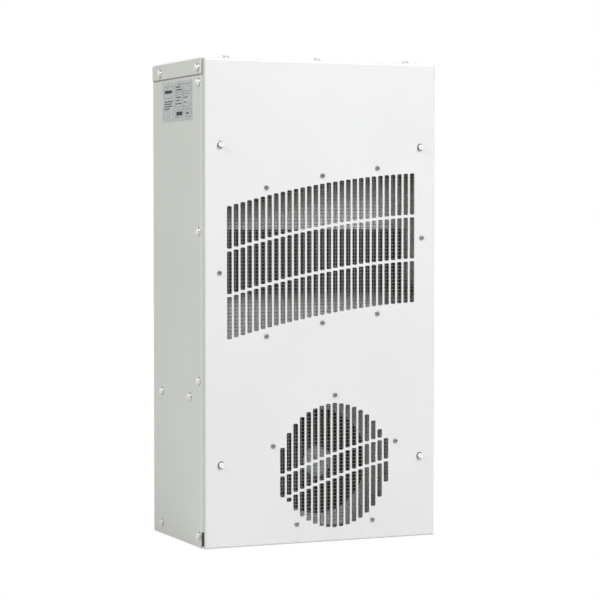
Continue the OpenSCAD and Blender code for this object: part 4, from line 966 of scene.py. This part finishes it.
fan_black = moulded("fan_black", cup_black, roughness=0.45)
frame_black, *_ = powder_coat("fan_frame_coat", frame_colour, roughness=0.5, peel_size=0.0007,
                              peel_height=0.00002)
bearing_steel = steel("bearing_steel", bearing_colour, roughness=0.18, cloud_size=0.003, grain=(1, 20, 1))
lamination = steel("motor_core", lamination_colour, roughness=0.5, cloud_size=0.004, grain=(0.2, 14, 0.2))
winding_copper = steel("winding_copper", copper_colour, roughness=0.35, cloud_size=0.002, grain=(1, 6, 1))
for fan in ("ambient", "enclosure"):
    rotor(fan)
    dress(frame_black, fan + "_fan_frame")
    dress(bearing_steel, fan + "_fan_shaft", fan + "_fan_bearings")
    dress(lamination, fan + "_fan_stator")
    dress(winding_copper, fan + "_fan_winding")

# The fans' labels: round stickers of the same satin foil as the rating plate, stuck on the motor
# plates that carry the struts, with two plain rings in the same ink.
sticker_radius = 0.0185
sticker_thick = 0.00046
printed_rings = ((0.0160, 0.0165), (0.0070, 0.0073))


def turned_over(shape):
    points, faces = shape
    return points, [list(reversed(face)) for face in faces]


for fan in ("ambient", "enclosure"):
    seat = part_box(fan + "_fan_label")[1].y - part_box(fan + "_fan_frame")[0].y
    face_level = seat - sticker_thick
    ink_level = face_level - print_height
    disc = turned([(sticker_radius, seat), (sticker_radius, face_level)], hub_steps)
    rings = [turned([(inner, face_level), (outer, face_level), (outer, ink_level), (inner, ink_level)],
                    hub_steps, ring=True) for inner, outer in printed_rings]
    shapes = [turned_over(shape) for shape in [disc] + rings]
    points, faces = gathered(placed(shapes, fan_matrix(fan)))
    sticker = make_piece(fan + "_fan_sticker", points, faces, label_foil, "label_foil", "housing",
                         fan + "_fan_label")
    sticker.data.materials.append(ink_dark)
    for face in sticker.data.polygons[len(disc[1]):]:
        face.material_index = 1

# The finger guard: bright plated steel wire, seven rings welded on four spokes. Each spoke's end is
# bent into a loop that a fan screw clamps over a washer on the rear panel.
guard_colour = (0.62, 0.63, 0.65)
guard_wire = 0.0008
guard_rings = 7
guard_sides = 10
ring_steps = 96
guard_first_ring = 0.010
guard_last_ring = 0.0648
guard_spoke_lift = 0.0022
guard_ring_lift = 0.0038
loop_radius = 0.0038
loop_start = 0.012
loop_sweep = 325
loop_steps = 26
bend_steps = 8
guard_low, guard_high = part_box("enclosure_fan_guard")
guard_x = (guard_low.x + guard_high.x) / 2
guard_z = (guard_low.z + guard_high.z) / 2
panel_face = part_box("rear_panel")[1].y
hole_pitch = (guard_high.x - guard_low.x) / 2 - loop_radius - guard_wire
corner_reach = hole_pitch * math.sqrt(2)


def spoke_path():
    """One spoke along X: straight under the rings, then a loop round the screw."""
    path = [Vector((guard_first_ring - guard_wire, 0, guard_spoke_lift))]
    for i in range(bend_steps + 1):
        t = i / bend_steps
        ease = t * t * (3 - 2 * t)
        path.append(Vector((corner_reach - loop_start * (1 - t), -loop_radius * ease, guard_spoke_lift)))
    for i in range(1, loop_steps + 1):
        turn = math.radians(-90 + loop_sweep * i / loop_steps)
        path.append(Vector((corner_reach + loop_radius * math.cos(turn),
                            loop_radius * math.sin(turn), guard_spoke_lift)))
    return path


guard_shapes = []
for i in range(guard_rings):
    radius = mixed((guard_first_ring, guard_last_ring), i / (guard_rings - 1))
    turns = [math.tau * k / ring_steps for k in range(ring_steps)]
    path = [Vector((radius * math.cos(turn), radius * math.sin(turn), guard_ring_lift)) for turn in turns]
    guard_shapes.append(tube(path, guard_wire, guard_sides, closed=True, across=Vector((0, 0, 1))))
for quarter in range(4):
    spin = Matrix.Rotation(math.radians(45 + 90 * quarter), 3, "Z")
    path = [spin @ place for place in spoke_path()]
    guard_shapes.append(tube(path, guard_wire, guard_sides, across=Vector((0, 0, 1))))
guard_stand = Matrix.Translation((guard_x, panel_face, guard_z)) @ Matrix.Rotation(-math.pi / 2, 4, "X")
points, faces = gathered(placed(guard_shapes, guard_stand))
guard_chrome = steel("guard_chrome", guard_colour, roughness=0.2, cloud_size=0.003)
make_piece("finger_guard", points, faces, guard_chrome, "guard_chrome", "housing",
           "enclosure_fan_guard", crease=50)

# The rear fixings: domed rivets of plated steel along both edges, and yellow passivated thread
# inserts that take the mounting bolts. The earth stud is passivated as well.
rivet_colour = (0.6, 0.61, 0.62)
passivation_colour = (0.60, 0.54, 0.34)
rivet_shank = 0.002
rivet_head = 0.0036
rivet_rise = 0.001
mandrel_radius = 0.0011
# The dome's outline as shares of the head's radius and height
dome_outline = ((1, 0), (0.97, 0.35), (0.8, 0.75), (0.5, 1))
rivet_steps = 28
rivet_metal = steel("rivet_metal", rivet_colour, roughness=0.35, cloud_size=0.003)
shapes = []
for low, high in solids_of("rear_rivets"):
    seat = high.y - rivet_rise
    profile = [(rivet_shank * 0.8, low.y - seat), (rivet_shank, low.y - seat + rivet_rise / 2),
               (rivet_shank, 0)]
    profile += [(rivet_head * r, rivet_rise * z) for r, z in dome_outline]
    profile += [(mandrel_radius, rivet_rise), (mandrel_radius, rivet_rise * 0.3)]
    stand = Matrix.Translation(((low.x + high.x) / 2, seat, (low.z + high.z) / 2))
    shapes += placed([turned(profile, rivet_steps)], stand @ Matrix.Rotation(-math.pi / 2, 4, "X"))
points, faces = gathered(shapes)
make_piece("panel_rivets", points, faces, rivet_metal, "zinc_fastener", "housing", "rear_rivets")
passivated = steel("passivated_zinc", passivation_colour, roughness=0.34, cloud_size=0.004)
dress(passivated, "mounting_inserts", "earth_stud")

# The wiring: rubber grommets in the sheet edges, black sleeved leads from both fans, nylon clips
# and an off-white terminal block on the rear panel's inner face.
rubber_colour = (0.03, 0.03, 0.031)
rubber_grain = 0.0008
rubber_round = 0.0005
entry_bore = 0.004
lead_bore = 0.0027
# The lips' and the neck's share of a grommet's length and radius
lip_share = 0.36
neck_share = 0.78
grommet_steps = 40
sleeve_colour = (0.03, 0.03, 0.032)
block_colour = (0.66, 0.64, 0.57)
clip_colour = (0.68, 0.68, 0.64)
lead_radius = 0.0025
lead_bend = 0.012
lead_sides = 14
bend_facets = 8
# A direction that no stretch of a lead runs along
lead_across = Vector((0.3, 0.2, 0.93))


def grommet(name, node, inner):
    """Rubber rings with rounded lips and a groove, one for each solid of a node."""
    shapes = []
    for low, high in solids_of(node):
        size = high - low
        axis = min(range(3), key=lambda k: size[k])
        length, outer = size[axis], size[(axis + 1) % 3] / 2
        lip = length * lip_share
        neck = outer * neck_share
        half = length / 2
        profile = [(inner, -half + rubber_round), (inner + rubber_round, -half),
                   (outer - 2 * rubber_round, -half), (outer, -half + lip / 2),
                   (outer - rubber_round, -half + lip), (neck, -half + lip), (neck, half - lip),
                   (outer - rubber_round, half - lip), (outer, half - lip / 2),
                   (outer - 2 * rubber_round, half), (inner + rubber_round, half),
                   (inner, half - rubber_round)]
        direction = Vector([float(k == axis) for k in range(3)])
        turn = direction.to_track_quat("Z", "Y").to_matrix().to_4x4()
        stand = Matrix.Translation((low + high) / 2) @ turn
        shapes += placed([turned(profile, grommet_steps, ring=True)], stand)
    points, faces = gathered(shapes)
    return make_piece(name, points, faces, rubber, "lead_black", "housing", node, crease=50)


def rounded_path(corners, radius):
    """A path through corners with each one rounded to a bend radius."""
    path = [corners[0]]
    for before, corner, after in zip(corners, corners[1:], corners[2:]):
        into, out = (corner - before).normalized(), (after - corner).normalized()
        centre = corner - into * radius + out * radius
        for k in range(bend_facets + 1):
            turn = math.pi / 2 * k / bend_facets
            path.append(centre - out * radius * math.cos(turn) + into * radius * math.sin(turn))
    return path + [corners[-1]]


def lead(name, node, corners):
    points, faces = tube(rounded_path(corners, lead_bend), lead_radius, lead_sides, across=lead_across)
    return make_piece(name, points, faces, sleeve, "lead_black", "housing", node, crease=60)


rubber = cellular("grommet_rubber", rubber_colour, rubber_grain)
sleeve = moulded("lead_sleeve", sleeve_colour, roughness=0.6, grain_size=0.0009, grain_height=0.00006)
grommet("cable_entry_grommet", "cable_grommet", entry_bore)
grommet("lead_ring_grommets", "lead_grommets", lead_bore)
low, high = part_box("ambient_fan_lead")
left, front, base = low.x + lead_radius, low.y + lead_radius, low.z + lead_radius
back = high.y - lead_radius
lead("ambient_fan_cable", "ambient_fan_lead",
     [Vector((high.x, front, base)), Vector((left, front, base)), Vector((left, back, base)),
      Vector((left, back, high.z))])
low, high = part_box("enclosure_fan_lead")
left, top, middle = low.x + lead_radius, high.z - lead_radius, (low.y + high.y) / 2
lead("enclosure_fan_cable", "enclosure_fan_lead",
     [Vector((high.x, middle, top)), Vector((left, middle, top)), Vector((left, middle, low.z))])
block_plastic = moulded("block_plastic", block_colour, roughness=0.42)
dress(block_plastic, "terminal_block")
clip_nylon = moulded("clip_nylon", clip_colour, roughness=0.4)
dress(clip_nylon, "lead_clips")
